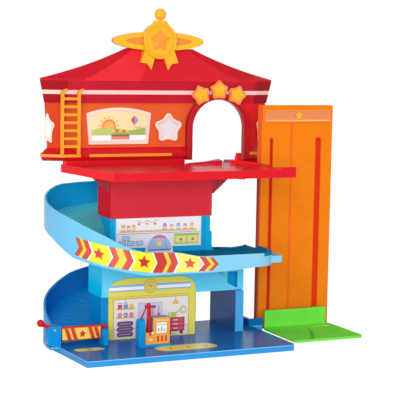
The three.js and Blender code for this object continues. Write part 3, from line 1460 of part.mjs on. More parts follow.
function addBarrier() {
  const armFront = gateY - gateArmThickness / 2;
  const armBack = gateY + gateArmThickness / 2;
  const pivotZ = gateBarTop - gateBarHeight / 2;
  const postRight = gatePostLeft + gatePostWidth;
  const postBack = gatePostFront + gatePostDepth;
  const postTop = baseHeight + gatePostHeight;
  const outline = polygon([
    [gatePostLeft + gatePostChamfer, baseHeight], [postRight, baseHeight], [postRight, postTop],
    [gatePostLeft, postTop], [gatePostLeft, baseHeight + gatePostChamfer],
  ]);
  const slot = block(gatePostLeft - cutOverrun, postRight + cutOverrun, armFront - gateClearance,
    armBack + gateClearance, postTop - gatePostNotch, postTop + cutOverrun);
  const hole = barAlongY(gatePivotX, pivotZ, gatePinRadius + seatGap, gatePostFront - cutOverrun,
    armBack + gateClearance + wall);
  const hollow = block(gatePostLeft + 2 * wall, postRight - wall, armBack + gateClearance + 2 * wall,
    postBack - wall, baseHeight - cutOverrun, postTop - wall);
  addPiece("gate_post", pushedBack(outline, gatePostFront,
    postBack).subtract(slot).subtract(hole).subtract(hollow),
    blue);
  const pinBack = armBack + gateClearance + wall - seatGap;
  addPiece("gate_pin", barAlongY(gatePivotX, pivotZ, gatePinRadius, gatePostFront, pinBack), steel);

  const barBody = block(gatePivotX, gateBarRight, armFront, armBack, pivotZ - gateBarHeight / 2,
    pivotZ + gateBarHeight / 2);
  const boss = barAlongY(gatePivotX, pivotZ, gateBarHeight / 2 + gateBoss, armFront, armBack);
  const knobX = gatePivotX - gateKnobReach - gateKnobRadius / 2;
  const knobZ = pivotZ + gateKnobRise + gateKnobRadius / 3;
  const lean = Math.atan2(knobZ - pivotZ, gatePivotX - knobX);
  const sideX = Math.sin(lean) * (gateBarHeight / 2);
  const sideZ = Math.cos(lean) * (gateBarHeight / 2);
  const neckX = knobX + gateKnobRadius * Math.cos(lean);
  const neckZ = knobZ - gateKnobRadius * Math.sin(lean);
  const neck = polygon([
    [gatePivotX - sideX, pivotZ - sideZ], [gatePivotX + sideX, pivotZ + sideZ], [neckX + sideX,
    neckZ + sideZ],
    [neckX - sideX, neckZ - sideZ],
  ]);
  // The knob is a bulb that tapers towards the arm, turned along the neck
  const capSteps = 6;
  const profile = [new THREE.Vector2(0, 0)];
  for (let i = 1; i <= capSteps; i += 1) {
    const a = (quarter * i) / capSteps;
    profile.push(new THREE.Vector2(gateKnobRadius * Math.sin(a), gateKnobRadius * (1 - Math.cos(a))));
  }
  profile.push(new THREE.Vector2(gateKnobRadius * gateKnobTaperShare, gateKnobLength));
  profile.push(new THREE.Vector2(0, gateKnobLength));
  const knob = new THREE.LatheGeometry(profile, ballSteps);
  knob.rotateZ(-quarter);
  knob.rotateY(lean);
  knob.translate(knobX, gateY, knobZ);
  const pinHole = barAlongY(gatePivotX, pivotZ, gatePinRadius + seatGap, armFront - cutOverrun,
    armBack + cutOverrun);
  const arm = joined([barBody, boss, pushedBack(neck, armFront, armBack), solid(knob)]);
  addPiece("gate_arm", arm.subtract(pinHole), red);

  const panelTop = gateBarTop - wall / 2;
  const panelLow = panelTop - gatePanelDrop;
  const panelRight = gateStopLeft - 2 * seatGap;
  const panel = new THREE.Shape();
  panel.moveTo(gatePanelLeft, panelTop);
  panel.lineTo(gatePanelLeft + wall, panelLow + wall);
  panel.quadraticCurveTo((gatePanelLeft + panelRight) / 2, panelLow - wall, panelRight - wall,
    panelLow + wall);
  panel.lineTo(panelRight, panelTop);
  panel.closePath();
  addPiece("gate_panel", pushedBack(panel, armFront - gatePanelThickness, armFront), yellow);

  const stopTop = pivotZ - gateBarHeight / 2 - seatGap;
  const stopFront = gateY - gateStopProud;
  const guideFront = armBack + gateClearance;
  const stopBack = guideFront + gateGuide + wall / 2;
  const stop = raised(roundedRectangle(gateStopLeft, stopFront, gateStopLeft + gateStopWidth, stopBack,
    wall / 2),
    baseHeight, stopTop);
  const guide = block(gateStopLeft, gateStopLeft + gateStopWidth, guideFront, guideFront + gateGuide,
    stopTop - wall, gateBarTop);
  addPiece("gate_stop", stop.add(guide), blue);
}

// Lift tower: an open-backed casing with slots, ribs, a header and engraved planks

function engraving() {
  const cuts = [];
  const front = towerFront;
  const back = front + grooveDepth;
  const groove = (x0, z0, x1, z1) => {
    const length = Math.hypot(x1 - x0, z1 - z0);
    const dx = ((x1 - x0) / length) * (grooveWidth / 2);
    const dz = ((z1 - z0) / length) * (grooveWidth / 2);
    cuts.push(pushedBack(polygon([
      [x0 + dz, z0 - dx], [x1 + dz, z1 - dx], [x1 - dz, z1 + dx], [x0 - dz, z0 + dx],
    ]), front - cutOverrun, back));
  };
  groove(seamX, liftPanelHeight, seamX, headerLow);
  const trussLeft = slotLeftX + slotLeftWidth + wall;
  const trussRight = slotRightX - slotRightWidth - wall;
  // Grooves of one truss bay, each from one share of the pitch below its top to another, and how long it is
  const leftShares = [[0, 0, 1], [0.2, 0.2, 1], [0.3, 0.55, 0.7], [0.85, 0.6, 0.7]];
  const rightShares = [[0, 0, 1], [0.55, 0.3, 1], [0.6, 0.85, 1]];
  const seamShares = [0.44, 0.86];
  const bayTop = slotHigh - trussPitch / 4;
  const leftLength = seamX - plankLength / 3 - trussLeft;
  for (let z = bayTop; z > liftPanelHeight + trussPitch / 2; z -= trussPitch) {
    leftShares.forEach(([from, to, length]) =>
      groove(trussLeft, z - trussPitch * from, trussLeft + leftLength * length, z - trussPitch * to));
    rightShares.forEach(([from, to, length]) =>
      groove(trussRight - plankLength * length, z - trussPitch * from, trussRight, z - trussPitch * to));
  }
  seamShares.forEach((share) => {
    const z = liftPanelHeight + (headerLow - liftPanelHeight) * share;
    groove(seamX, z, seamX + plankLength, z);
  });
  return joined(cuts);
}

function addTower() {
  const back = towerFront + towerDepth;
  let casing = block(towerLeft, towerRight, towerFront, back, 0, towerHeight);
  casing = casing.subtract(block(towerLeft + wall, towerRight - wall, towerFront + wall, back + cutOverrun,
    -cutOverrun, towerHeight - wall));
  const ribs = [];
  const ribFront = towerFront + wall + trackDepth + seatGap;
  for (let z = towerRibPitch; z < towerHeight - towerRibPitch / 2; z += towerRibPitch) {
    ribs.push(block(towerLeft + wall / 2, towerRight - wall / 2, ribFront, back, z, z + thinWall));
  }
  const backRib = block(seamX - thinWall / 2, seamX + thinWall / 2, towerFront + wall / 2, back, 0,
    towerHeight - wall / 2);
  casing = casing.add(joined(ribs)).add(backRib);
  const header = pushedBack(roundedRectangle(towerLeft, headerLow, towerRight - headerNarrow, towerHeight,
    wall),
    towerFront - headerProud, towerFront + wall / 2);
  casing = casing.add(header);
  [[slotLeftX, slotLeftWidth], [slotRightX, slotRightWidth]].forEach(([x, width]) => {
    const slot = roundedRectangle(x - width / 2, slotLow, x + width / 2, slotHigh, width / 2 - seatGap);
    casing = casing.subtract(pushedBack(slot, towerFront - cutOverrun, towerFront + wall + cutOverrun));
  });
  const pegRoom = block(towerLeft - cutOverrun, towerLeft + towerPegLength + seatGap,
    towerFront + wall, back + cutOverrun, -cutOverrun, towerPegHeight + seatGap);
  casing = casing.subtract(pegRoom).subtract(engraving());
  addPiece("tower_casing", casing, orange);

  const starX = (towerLeft + towerRight) / 2;
  const starZ = (headerLow + towerHeight) / 2 - wall;
  const starBack = towerFront - headerProud;
  const starBody = pushedBack(star(starX, starZ, towerStarRadius), starBack - towerStarThickness, starBack);
  addPiece("tower_star", starBody, yellow);

  // Red channels behind the slots, in which the carriage's shoes run
  [["track_left", slotLeftX, slotLeftWidth], ["track_right", slotRightX, slotRightWidth]].forEach(([name,
    x, width]) => {
    const left = x - width / 2 - trackSide;
    const right = x + width / 2 + trackSide;
    const near = towerFront + wall;
    const body = block(left, right, near, near + trackDepth, slotLow, slotHigh + wall);
    const hollow = block(left + trackWall, right - trackWall, near - cutOverrun,
      near + trackDepth - trackWall,
      slotLow - cutOverrun, slotHigh);
    addPiece(name, body.subtract(hollow), red);
  });
}

// Lift carriage: ribbed back panel and platform in one moulding, and the two shoes

function addLift() {
  const low = liftFloorHeight;
  const panelBack = towerFront - seatGap;
  const panel = pushedBack(roundedRectangle(liftLeft, low, liftRight, low + liftPanelHeight, wall / 2),
    liftPanelFront, liftPanelFront + liftPanelThickness);
  const webs = [slotLeftX, slotRightX].map((x) =>
    block(x - trackSide, x + trackSide, liftPanelFront + wall / 2, panelBack, low,
      low + liftPanelHeight - wall / 2));
  const grooves = [];
  const [grooveLow, grooveHigh] = panelRibShares.map((share) => low + liftPanelHeight * share);
  for (let x = liftLeft + stopLineInset; x < liftRight - stopLineInset; x += panelRibPitch) {
    grooves.push(block(x, x + panelRibWidth, liftPanelFront - cutOverrun, liftPanelFront + panelRibDepth,
      grooveLow,
      grooveHigh));
  }
  const platform = raised(roundedRectangle(platformLeft, platformFront, platformRight,
    liftPanelFront + liftPanelThickness, platformCorner), low, low + platformThickness);
  const foldLine = (platformLeft + platformRight) / 2;
  const plateTop = low + platformThickness;
  const lane = block(foldLine, foldLine + grooveWidth, platformFront - cutOverrun,
    liftPanelFront - platformLineInset,
    plateTop - grooveDepth, plateTop + cutOverrun);
  const stopLineFront = liftPanelFront - stopLineInset;
  const stopLine = block(liftLeft + platformBorder, foldLine - stopLineInset, stopLineFront,
    stopLineFront + grooveWidth, plateTop - grooveDepth, plateTop + cutOverrun);
  const carriage = panel.add(joined(webs)).add(platform).subtract(joined([...grooves, lane, stopLine]));
  addPiece("lift_carriage", carriage, green);

  [["lift_shoe_left", slotLeftX, slotLeftWidth], ["lift_shoe_right", slotRightX, slotRightWidth]].forEach(
    ([name, x, width]) => {
      const stemHalf = width / 2 - shoeClearance;
      const headHalf = width / 2 + shoeHeadProud;
      const zLow = low + shoeLow;
      const zHigh = zLow + shoeHeight;
      const stem = block(x - stemHalf, x + stemHalf, panelBack,
        towerFront + wall + shoeClearance + shoeHead / 2,
        zLow, zHigh);
      const head = block(x - headHalf, x + headHalf, towerFront + wall + shoeClearance,
        towerFront + wall + shoeClearance + shoeHead, zLow, zHigh);
      addPiece(name, stem.add(head), red);
    });
}

addBase();
addLowerStorey();
addSecondStorey();
addPictureBoard();
addMiddleFloor();
addMiddleStorey();
addUpperRamp();
addLowerRamp();
addUpperStorey();
addDeck();
addRails();
addHouseWalls();
addTrims();
const roofClearance = addRoof();
addArch();
addWindows();
addLadder();
addEmblem(roofClearance);
addStation();
addBarrier();
addTower();
addLift();

// The origin is the middle of the footprint, on the floor
const reach = new THREE.Box3().setFromObject(garage);
garage.position.set(-(reach.min.x + reach.max.x) / 2, -(reach.min.y + reach.max.y) / 2, -reach.min.z);

export default garage;
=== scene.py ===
"""Looks of a toy parking garage with ramps, a house on top and a lift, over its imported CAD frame."""
import math
import bpy
import numpy as np
from mathutils import Matrix


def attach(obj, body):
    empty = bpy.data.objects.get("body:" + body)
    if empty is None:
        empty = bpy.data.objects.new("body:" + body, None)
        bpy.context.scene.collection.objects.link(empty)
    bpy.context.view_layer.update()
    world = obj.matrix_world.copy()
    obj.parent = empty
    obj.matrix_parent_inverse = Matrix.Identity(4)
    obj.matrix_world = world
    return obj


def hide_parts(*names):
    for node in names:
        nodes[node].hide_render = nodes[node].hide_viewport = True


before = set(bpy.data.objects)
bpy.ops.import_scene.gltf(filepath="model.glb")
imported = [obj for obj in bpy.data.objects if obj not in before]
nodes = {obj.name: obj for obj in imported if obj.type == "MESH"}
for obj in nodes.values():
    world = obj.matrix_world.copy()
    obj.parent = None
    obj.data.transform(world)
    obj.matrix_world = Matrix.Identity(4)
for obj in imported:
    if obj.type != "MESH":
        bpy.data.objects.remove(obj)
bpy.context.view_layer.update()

MM = 0.001
# The drawings below are in mm from the base's front left corner. This is that corner in the frame, in metres.
CORNER = np.array((-0.2349047, -0.140, 0.0))
# Width, in metres, over which one colour of a moulding goes over into the next
SOFT_EDGE = 0.0002
# The frame's axes by number
ACROSS, BACK, UP = 0, 1, 2

# Places in mm that several drawings share: the upright axis of both half turns, the radius of their outer
# wall and one just under its skin, the house's middle and the roof emblem's centre
RAMP_X, RAMP_Y = 110.0, 160.0
RAMP_OUTER = 120.0
RAMP_INNER = 118.6
HOUSE_MIDDLE = 206.5
EMBLEM_X, EMBLEM_Z = 200, 489
# Heights of the base's and the lift platform's top
BASE_TOP = 10.0
PLATFORM_TOP = 5.0
# Radians by which the house's end faces fold back
FOLD = 0.4075


def placed(points):
    """Metres in the frame from mm off the base's front left corner: p / 1000 + CORNER."""
    return np.asarray(points, float) * MM + CORNER


# Nodes and colours

def linear(code):
    """Linear red, green, blue, 1 from an sRGB hex value.
    Each channel is ((c + 0.055) / 1.055) ** 2.4, or c / 12.92 where it is dark."""
    c = np.array([int(code[i:i + 2], 16) for i in (0, 2, 4)]) / 255
    return (*np.where(c <= 0.04045, c / 12.92, ((c + 0.055) / 1.055) ** 2.4).tolist(), 1.0)


def add(tree, kind, feeds=None, **settings):
    """One node of a kind with its settings; feeds gives each socket a value or the socket that feeds it."""
    made = tree.nodes.new("ShaderNode" + kind)
    for name, value in settings.items():
        setattr(made, name, value)
    for socket, value in (feeds or {}).items():
        if isinstance(value, bpy.types.NodeSocket):
            tree.links.new(value, made.inputs[socket])
        else:
            made.inputs[socket].default_value = value
    return made


def started(name):
    """A new material with its tree, its shader and the piece's Object coordinates."""
    material = bpy.data.materials.new(name)
    material.use_nodes = True
    tree = material.node_tree
    place = add(tree, "TexCoord").outputs["Object"]
    return material, tree, tree.nodes["Principled BSDF"], place


def beyond(tree, value, edge, soft=SOFT_EDGE):
    """0 below the edge and 1 above it, with a soft step of the given width, both in metres."""
    return add(tree, "MapRange", {"Value": value, "From Min": edge - soft / 2, "From Max": edge + soft / 2},
               clamp=True).outputs[0]


def moulded(name, colour, shade, gloss=0.3, zones=(), specular=0.25, even=None):
    """Moulded ABS whose colour drifts between two hex values. zones are (mask, hex colour), where a mask is a
    function of tree and place; even is a like function that gives the smooth normal of a lofted turn."""
    material, tree, shader, place = started("moulded_abs_" + name)
    # Flow marks: the colour drifts a little over a few centimetres
    flow = add(tree, "TexNoise", {"Vector": place, "Scale": 1000 / 45, "Detail": 2.0}).outputs["Fac"]
    hue = add(tree, "Mix", {0: beyond(tree, flow, 0.5, 0.5), 6: linear(colour), 7: linear(shade)},
              data_type="RGBA").outputs[2]
    for mask, tint in zones:
        hue = add(tree, "Mix", {0: mask(tree, place), 6: hue, 7: linear(tint)}, data_type="RGBA").outputs[2]
    # Edges are rounded by the mould and painted a little paler as a highlight; the low steps
    # between a turn's facets aren't
    rounded = add(tree, "Bevel", {"Radius": 0.0009}, samples=6).outputs[0]
    flat = add(tree, "NewGeometry").outputs["True Normal"]
    facing = add(tree, "VectorMath", {0: rounded, 1: flat}, operation="DOT_PRODUCT").outputs["Value"]
    sharp = 0.93 if even else 0.995
    edge = add(tree, "MapRange", {"Value": facing, "From Min": sharp, "From Max": 0.72, "To Max": 0.34},
               clamp=True).outputs[0]
    edge_highlight = add(tree, "HueSaturation", {"Saturation": 0.86, "Value": 1.35, "Color": hue}).outputs[0]
    tree.links.new(add(tree, "Mix", {0: edge, 6: hue, 7: edge_highlight}, data_type="RGBA").outputs[2],
                   shader.inputs["Base Color"])
    # Long soft sink marks, and spark-eroded mould grain, drawn at about a millimetre so that it shows
    sink = add(tree, "TexNoise", {"Vector": place, "Scale": 1000 / 60, "Detail": 1.0}).outputs["Fac"]
    grain = add(tree, "TexNoise", {"Vector": place, "Scale": 1000 / 1.1, "Detail": 3.0}).outputs["Fac"]
    waves = add(tree, "Bump", {"Strength": 0.1, "Distance": 0.0003, "Height": sink})
    if even:
        tree.links.new(even(tree, place), waves.inputs["Normal"])
    skin = add(tree, "Bump", {"Strength": 0.16, "Distance": 0.00008, "Height": grain,
                              "Normal": waves.outputs[0]})
    tree.links.new(skin.outputs[0], shader.inputs["Normal"])
    # Handling leaves the gloss uneven
    rub = add(tree, "TexNoise", {"Vector": place, "Scale": 1000 / 18, "Detail": 3.0}).outputs["Fac"]
    rough = add(tree, "MapRange", {"Value": rub, "From Min": 0.3, "From Max": 0.7, "To Min": gloss - 0.05,
                                   "To Max": gloss + 0.07}, clamp=True)
    tree.links.new(rough.outputs[0], shader.inputs["Roughness"])
    shader.inputs["IOR"].default_value = 1.53
    shader.inputs["Specular IOR Level"].default_value = specular
    return material


# Masks: each is, or gives, a function of tree and place

def between(axis, low=None, high=None, soft=SOFT_EDGE):
    """What lies between two places along an axis, in mm, with a soft edge in metres. A side that isn't given
    is open."""
    def mask(tree, place):
        along = add(tree, "SeparateXYZ", {0: place}).outputs[axis]
        begun = 1.0 if low is None else beyond(tree, along, low * MM + CORNER[axis], soft)
        over = 0.0 if high is None else beyond(tree, along, high * MM + CORNER[axis], soft)
        return add(tree, "Math", {0: begun, 1: over}, operation="SUBTRACT").outputs[0]
    return mask


def facing(direction, least):
    """Faces that look along a direction: the dot product of their normal with it is over the least."""
    def mask(tree, place):
        normal = add(tree, "NewGeometry").outputs["True Normal"]
        share = add(tree, "VectorMath", {0: normal, 1: direction}, operation="DOT_PRODUCT").outputs["Value"]
        return beyond(tree, share, least, 0.1)
    return mask


def both(*masks):
    """Where every one of the masks holds: their product."""
    def mask(tree, place):
        shared = masks[0](tree, place)
        for other in masks[1:]:
            shared = add(tree, "Math", {0: shared, 1: other(tree, place)}, operation="MULTIPLY").outputs[0]
        return shared
    return mask


facing_up = facing((0.0, 0.0, 1.0), 0.45)
facing_left = facing((-1.0, 0.0, 0.0), 0.6)


def from_axis(tree, place):
    """Level vector from the ramps' upright axis to the place."""
    foot = tuple(placed((RAMP_X, RAMP_Y, 0)))
    moved = add(tree, "VectorMath", {0: place, 1: foot}, operation="SUBTRACT").outputs[0]
    return add(tree, "VectorMath", {0: moved, 1: (1.0, 1.0, 0.0)}, operation="MULTIPLY").outputs[0]


def inside_ramp(tree, place):
    """All of a turn but the outer skin of its outer wall."""
    reach = add(tree, "VectorMath", {0: from_axis(tree, place)}, operation="LENGTH").outputs["Value"]
    outer = beyond(tree, reach, RAMP_INNER * MM)
    return add(tree, "Math", {0: 1.0, 1: outer}, operation="SUBTRACT").outputs[0]


def ramp_normal(tree, place):
    """Smooth normal of a turn: straight from or to the axis on its walls, and straight up on its floor."""
    flat = add(tree, "NewGeometry").outputs["True Normal"]
    outward = add(tree, "VectorMath", {0: from_axis(tree, place)}, operation="NORMALIZE").outputs[0]
    along = add(tree, "VectorMath", {0: outward, 1: flat}, operation="DOT_PRODUCT").outputs["Value"]
    way = add(tree, "Math", {0: along}, operation="SIGN").outputs[0]
    wall = add(tree, "VectorMath", {0: outward, "Scale": way}, operation="SCALE").outputs[0]
    much = beyond(tree, add(tree, "Math", {0: along}, operation="ABSOLUTE").outputs[0], 0.8, 0.02)
    turned = add(tree, "Mix", {0: much, 4: flat, 5: wall}, data_type="VECTOR").outputs[1]
    return add(tree, "Mix", {0: facing_up(tree, place), 4: turned, 5: (0.0, 0.0, 1.0)},
               data_type="VECTOR").outputs[1]


# Moulded ABS: bright, even colours with a soft gloss and slightly paler edges, a painted highlight. The zones
# are faces, ends and recesses that the photograph shows in another shade than the rest of their moulding.

# Sides painted paler than the top as front light, with a painted highlight line along their upper edge
base_blue = moulded("base_blue", "0a6cb4", "0664ab", 0.2,
                    [(between(UP, high=9.4), "3494d6"), (between(UP, 8.4, 9.4), "8ccdf2")], specular=0.05)
wall_blue = moulded("wall_blue", "0a93d8", "0888cf", 0.28, specular=0.1)
# The post's front is paler
side_blue = moulded("side_blue", "16518e", "124a86", 0.3, [(between(BACK, high=128.2), "4aa9e6")],
                    specular=0.1)
# Inner wall painted darker as shade and floor painted brighter as light, as on the upper ramp
ramp_blue = moulded("lower_ramp_blue", "2f96d8", "288fd2", 0.3,
                    [(inside_ramp, "1276c1"), (both(inside_ramp, facing_up), "12a2ee")],
                    specular=0.1, even=ramp_normal)
lane_blue = moulded("back_lane_blue", "14669f", "125f97", 0.3)
# Left face painted a deeper cyan as the shading on that side
storey_cyan = moulded("second_storey_cyan", "6ed8fa", "66d2f6", 0.3,
                     [(between(ACROSS, 60, 72.3), "04ccfa")], specular=0.03)
middle_cyan = moulded("middle_wall_cyan", "12b0e2", "0ea7db", 0.3, specular=0.04)
# The lane's floor and the inner face of its wall are painted darker as the shade under the deck
floor_light = moulded("middle_floor_light_blue", "8acbec", "80c5e9", 0.35,
                      [(both(between(UP, 147.5), between(BACK, 42.5)), "1a7aa8")], specular=0.0)
# Inner wall painted darker as shade and floor painted brighter as light
ramp_light = moulded("upper_ramp_light_blue", "78c6ec", "6dbfe9", 0.3,
                     [(inside_ramp, "14b0ee"), (both(inside_ramp, facing_up), "5cf2ff")],
                     specular=0.1, even=ramp_normal)
# Left faces painted brighter as light from the left
box_red = moulded("box_red", "dc3644", "d8303f", 0.34, [(between(ACROSS, 80, 86.3), "ff1526")], specular=0.04)
deck_red = moulded("deck_red", "d91d2a", "d41827", 0.3, [(facing_left, "fa1020")], specular=0.06)
plinth_red = moulded("plinth_red", "d0181e", "ca1620", 0.3, specular=0.08)
end_red = moulded("end_wall_red", "ec2326", "e52126", 0.3, specular=0.12)
roof_red = moulded("roof_red", "d4202c", "cb1d2a", 0.36, specular=0.08)
frame_red = moulded("arch_frame_red", "bc1823", "b31621", 0.22, specular=0.15)
small_red = moulded("small_parts_red", "d01a22", "c91820", 0.24, specular=0.12)
track_red = moulded("track_red", "f8501f", "f04a1c", 0.36, specular=0.1)
# Gussets painted a darker red as the shade under the deck
gusset_red = moulded("gusset_dark_red", "b02737", "a62334", 0.32)
# Ends painted darker as shade on the folded ends, and a pale line along its middle
valance_red = moulded("valance_red", "c02333", "b92031", 0.34,
                      [(between(ACROSS, -5, 38), "a41a26"), (between(ACROSS, 375, 420), "9c212c"),
                       (between(UP, 400.2, 406.8), "f9cfc6")], specular=0.01)
# Left end painted redder as shade on the folded end
house_orange = moulded("house_orange", "e2612f", "dc5b2c", 0.34, [(between(ACROSS, -5, 38.4), "d24018")],
                       specular=0.05)
# The tower: a broad red-orange seam painted as the shade in its groove, slot edges painted bright red-orange
# as light in the slots, and a left side painted redder, and darker further back, as shade and red reflection
tower_orange = moulded(
    "tower_orange", "ee8218", "ea7b14", 0.34,
    [(both(between(ACROSS, 428.6, 433.6, 0.002), between(UP, high=355), between(BACK, high=176)), "ee6c1e"),
     (both(between(ACROSS, 389.0, 397.0, 0.0015), between(UP, 9, 330)), "fc6220"),
     (both(between(ACROSS, 477.8, 490.2, 0.0015), between(UP, 9, 330)), "ee5a1c"),
     (between(ACROSS, 370, 375.4), "ff7a30"),
     (both(between(ACROSS, 370, 375.4), between(BACK, 181.5), between(UP, high=284)), "d04326")],
    specular=0.02)
star_orange = moulded("star_orange", "f3962c", "ef8e27", 0.25)
rim_orange = moulded("star_rim_orange", "f48a48", "ef8240", 0.28)
board_orange = moulded("station_orange", "eda249", "e99a41", 0.28)
trim_yellow = moulded("trim_yellow", "ec9f27", "e79820", 0.28)
# The plate's recess is painted darker as shade
emblem_yellow = moulded("emblem_yellow", "f3b61e", "f0ae1a", 0.25, [(between(BACK, 215.8), "dc8c30")])
medal_yellow = moulded("medal_yellow", "f1b41f", "edac1b", 0.22)
lift_green = moulded("lift_green", "7ae34c", "70da45", 0.34, specular=0.0)
pale_frame = moulded("pale_frame", "fbdcd0", "f8d5c8", 0.28)
# The window's pane is grey
pale_star = moulded("pale_star", "fbdcd0", "f8d5c8", 0.28, [(between(BACK, 212.9), "dfe2e8")])


def printed_card(name, colour, shade):
    """Coated card: flat ink with faint fibres and a satin varnish."""
    material, tree, shader, place = started(name)
    fibre = add(tree, "TexNoise", {"Vector": place, "Scale": 1000 / 0.9, "Detail": 4.0}).outputs["Fac"]
    hue = add(tree, "Mix", {0: fibre, 6: linear(colour), 7: linear(shade)}, data_type="RGBA").outputs[2]
    tree.links.new(hue, shader.inputs["Base Color"])
    tree.links.new(add(tree, "Bump", {"Strength": 0.1, "Distance": 0.00004, "Height": fibre}).outputs[0],
                   shader.inputs["Normal"])
    shader.inputs["Roughness"].default_value = 0.42
    return material


board_card = printed_card("printed_card_board_frame", "ecdf55", "e6d84e")
pale_card = printed_card("printed_card_pale", "efeae4", "e6e0da")
dome_card = printed_card("printed_card_dome_border", "f1f0f4", "e8e7ee")


def inked():
    """Printed sticker: each shape's ink comes from its own colour attribute, under a glossy film."""
    material, tree, shader, place = started("printed_sticker_ink")
    ink = add(tree, "Attribute", attribute_name="ink").outputs["Color"]
    # Ink mottle at half a millimetre, drawn about twice as coarse as print so that it shows
    mottle = add(tree, "TexNoise", {"Vector": place, "Scale": 1000 / 0.5, "Detail": 2.0}).outputs["Fac"]
    uneven = add(tree, "MapRange", {"Value": mottle, "To Min": 0.95, "To Max": 1.05}).outputs[0]
    tree.links.new(add(tree, "HueSaturation", {"Value": uneven, "Color": ink}).outputs[0],
                   shader.inputs["Base Color"])
    film = add(tree, "TexNoise", {"Vector": place, "Scale": 1000 / 14, "Detail": 1.0}).outputs["Fac"]
    tree.links.new(add(tree, "Bump", {"Strength": 0.15, "Distance": 0.0003, "Height": film}).outputs[0],
                   shader.inputs["Normal"])
    shader.inputs["Roughness"].default_value = 0.3
    return material


sticker_ink = inked()


def turned_steel():
    """Turned steel pin: satin metal with fine rings across its length."""
    material, tree, shader, place = started("turned_steel")
    rings = add(tree, "TexNoise", {"Vector": place, "Scale": 1000 / 0.4, "Detail": 1.0}).outputs["Fac"]
    hue = add(tree, "Mix", {0: rings, 6: linear("b4b7bb"), 7: linear("c6c9cc")}, data_type="RGBA").outputs[2]
    tree.links.new(hue, shader.inputs["Base Color"])
    tree.links.new(add(tree, "MapRange", {"Value": rings, "To Min": 0.24, "To Max": 0.4}).outputs[0],
                   shader.inputs["Roughness"])
    shader.inputs["Metallic"].default_value = 1.0
    return material


steel = turned_steel()

# Each moulding's nodes; those that aren't named here are the yellow trims
FINISH = {
    base_blue: "base_plate", wall_blue: "lower_walls station_body gate_post gate_stop",
    side_blue: "garage_side_wall", ramp_blue: "lower_ramp_turn", lane_blue: "lower_ramp_straight",
    storey_cyan: "second_storey", middle_cyan: "middle_wall", floor_light: "middle_floor",
    ramp_light: "upper_ramp_turn upper_ramp_straight", board_card: "front_picture_board",
    pale_card: "middle_picture_panel window_picture", dome_card: "dome_card", box_red: "upper_storey_box",
    deck_red: "deck deck_rail_left deck_rail_right", end_red: "house_end_wall",
    plinth_red: "house_plinth house_plinth_end", roof_red: "roof", frame_red: "arch_frame",
    small_red: "station_lever gate_arm", track_red: "track_left track_right lift_shoe_left lift_shoe_right",
    gusset_red: "gusset_left gusset_right", valance_red: "valance", house_orange: "house_wall",
    board_orange: "station_board", tower_orange: "tower_casing", star_orange: "emblem_star",
    emblem_yellow: "emblem_plate", rim_orange: "arch_star_left arch_star_middle arch_star_right",
    medal_yellow: "emblem_medal finial_ball ribbon_left ribbon_right gate_panel tower_star",
    pale_frame: "window_frame", pale_star: "star_window star_window_left star_window_right",
    lift_green: "lift_carriage", steel: "gate_pin station_lever_pin",
}
material_of = {name: material for material, names in FINISH.items() for name in names.split()}
for name, node in nodes.items():
    node.data.materials.clear()
    node.data.materials.append(material_of.get(name, trim_yellow))


# Outlines and printed shapes

# A printed shape is (ink, points across and up in mm, layer), and this is how far its layers lie apart, in mm
LAYER = 0.04


def disc(x, z, radius, steps=28, start=0.0, end=2 * math.pi):
    """Points on a circle or an arc: centre + radius * (cos t, sin t)."""
    t = np.linspace(start, end, steps, endpoint=end - start < 6.28)
    return np.stack([x + radius * np.cos(t), z + radius * np.sin(t)], 1)


def bar(x0, z0, x1, z1):
    """An upright rectangle between two opposite corners."""
    return np.array([(x0, z0), (x1, z0), (x1, z1), (x0, z1)], float)


def star(x, z, radius, inner, turn=0.0):
    """Outline of a five-pointed star: the radius goes between full and inner share at equal angles."""
    t = math.pi / 2 + turn + np.arange(10) * math.pi / 5
    r = radius * np.where(np.arange(10) % 2, inner, 1.0)
    return np.stack([x + r * np.cos(t), z + r * np.sin(t)], 1)


def rounded_star(radius, inner, turn=0.0, squash=1.0):
    """Star outline about 0, 0 whose corners are cut at a quarter twice over, so that they look moulded."""
    points = star(0, 0, radius, inner, turn)
    for _ in range(2):
        after = np.roll(points, -1, axis=0)
        points = np.stack([points * 0.75 + after * 0.25, points * 0.25 + after * 0.75], 1).reshape(-1, 2)
    return points * (squash, 1.0)


def pill(x0, z0, x1, z1):
    """A bar whose ends are half circles."""
    r = (z1 - z0) / 2
    t = np.linspace(-math.pi / 2, math.pi / 2, 12)
    right = np.stack([x1 - r + r * np.cos(t), z0 + r + r * np.sin(t)], 1)
    left = np.stack([x0 + r - r * np.cos(t), z0 + r - r * np.sin(t)], 1)
    return np.concatenate([right, left])


def stroke(points, width):
    """A line of that width along points: each is moved half the width, or half its own, to both sides."""
    p = np.asarray(points, float)
    along = np.gradient(p, axis=0)
    side = np.stack([-along[:, 1], along[:, 0]], 1) / np.hypot(*along.T)[:, None] * width / 2
    return np.concatenate([p + side, (p - side)[::-1]])


def wave(x0, x1, z, rise, turns):
    """A sine line from x0 to x1: z + rise * sin(2 pi turns s)."""
    s = np.linspace(0, 1, 40)
    return np.stack([x0 + (x1 - x0) * s, z + rise * np.sin(2 * math.pi * turns * s)], 1)


def grid_faces(rows, columns, closed="", first=0):
    """Faces of a grid whose points are numbered row by row from first: each goes from a point to the same
    place in the next row, to the place beside that, and to the one beside the point itself.
    closed names what joins its last to its first: rows or columns."""
    i, j = np.meshgrid(np.arange(rows - (closed != "rows")), np.arange(columns - (closed != "columns")),
                       indexing="ij")
    i, j = i.ravel(), j.ravel()
    next_i, next_j = (i + 1) % rows, (j + 1) % columns
    return first + np.stack([i * columns + j, next_i * columns + j, next_i * columns + next_j,
                             i * columns + next_j], 1)


# Order of a grid face's corners that turns it to look the other way
TURNED = [0, 3, 2, 1]


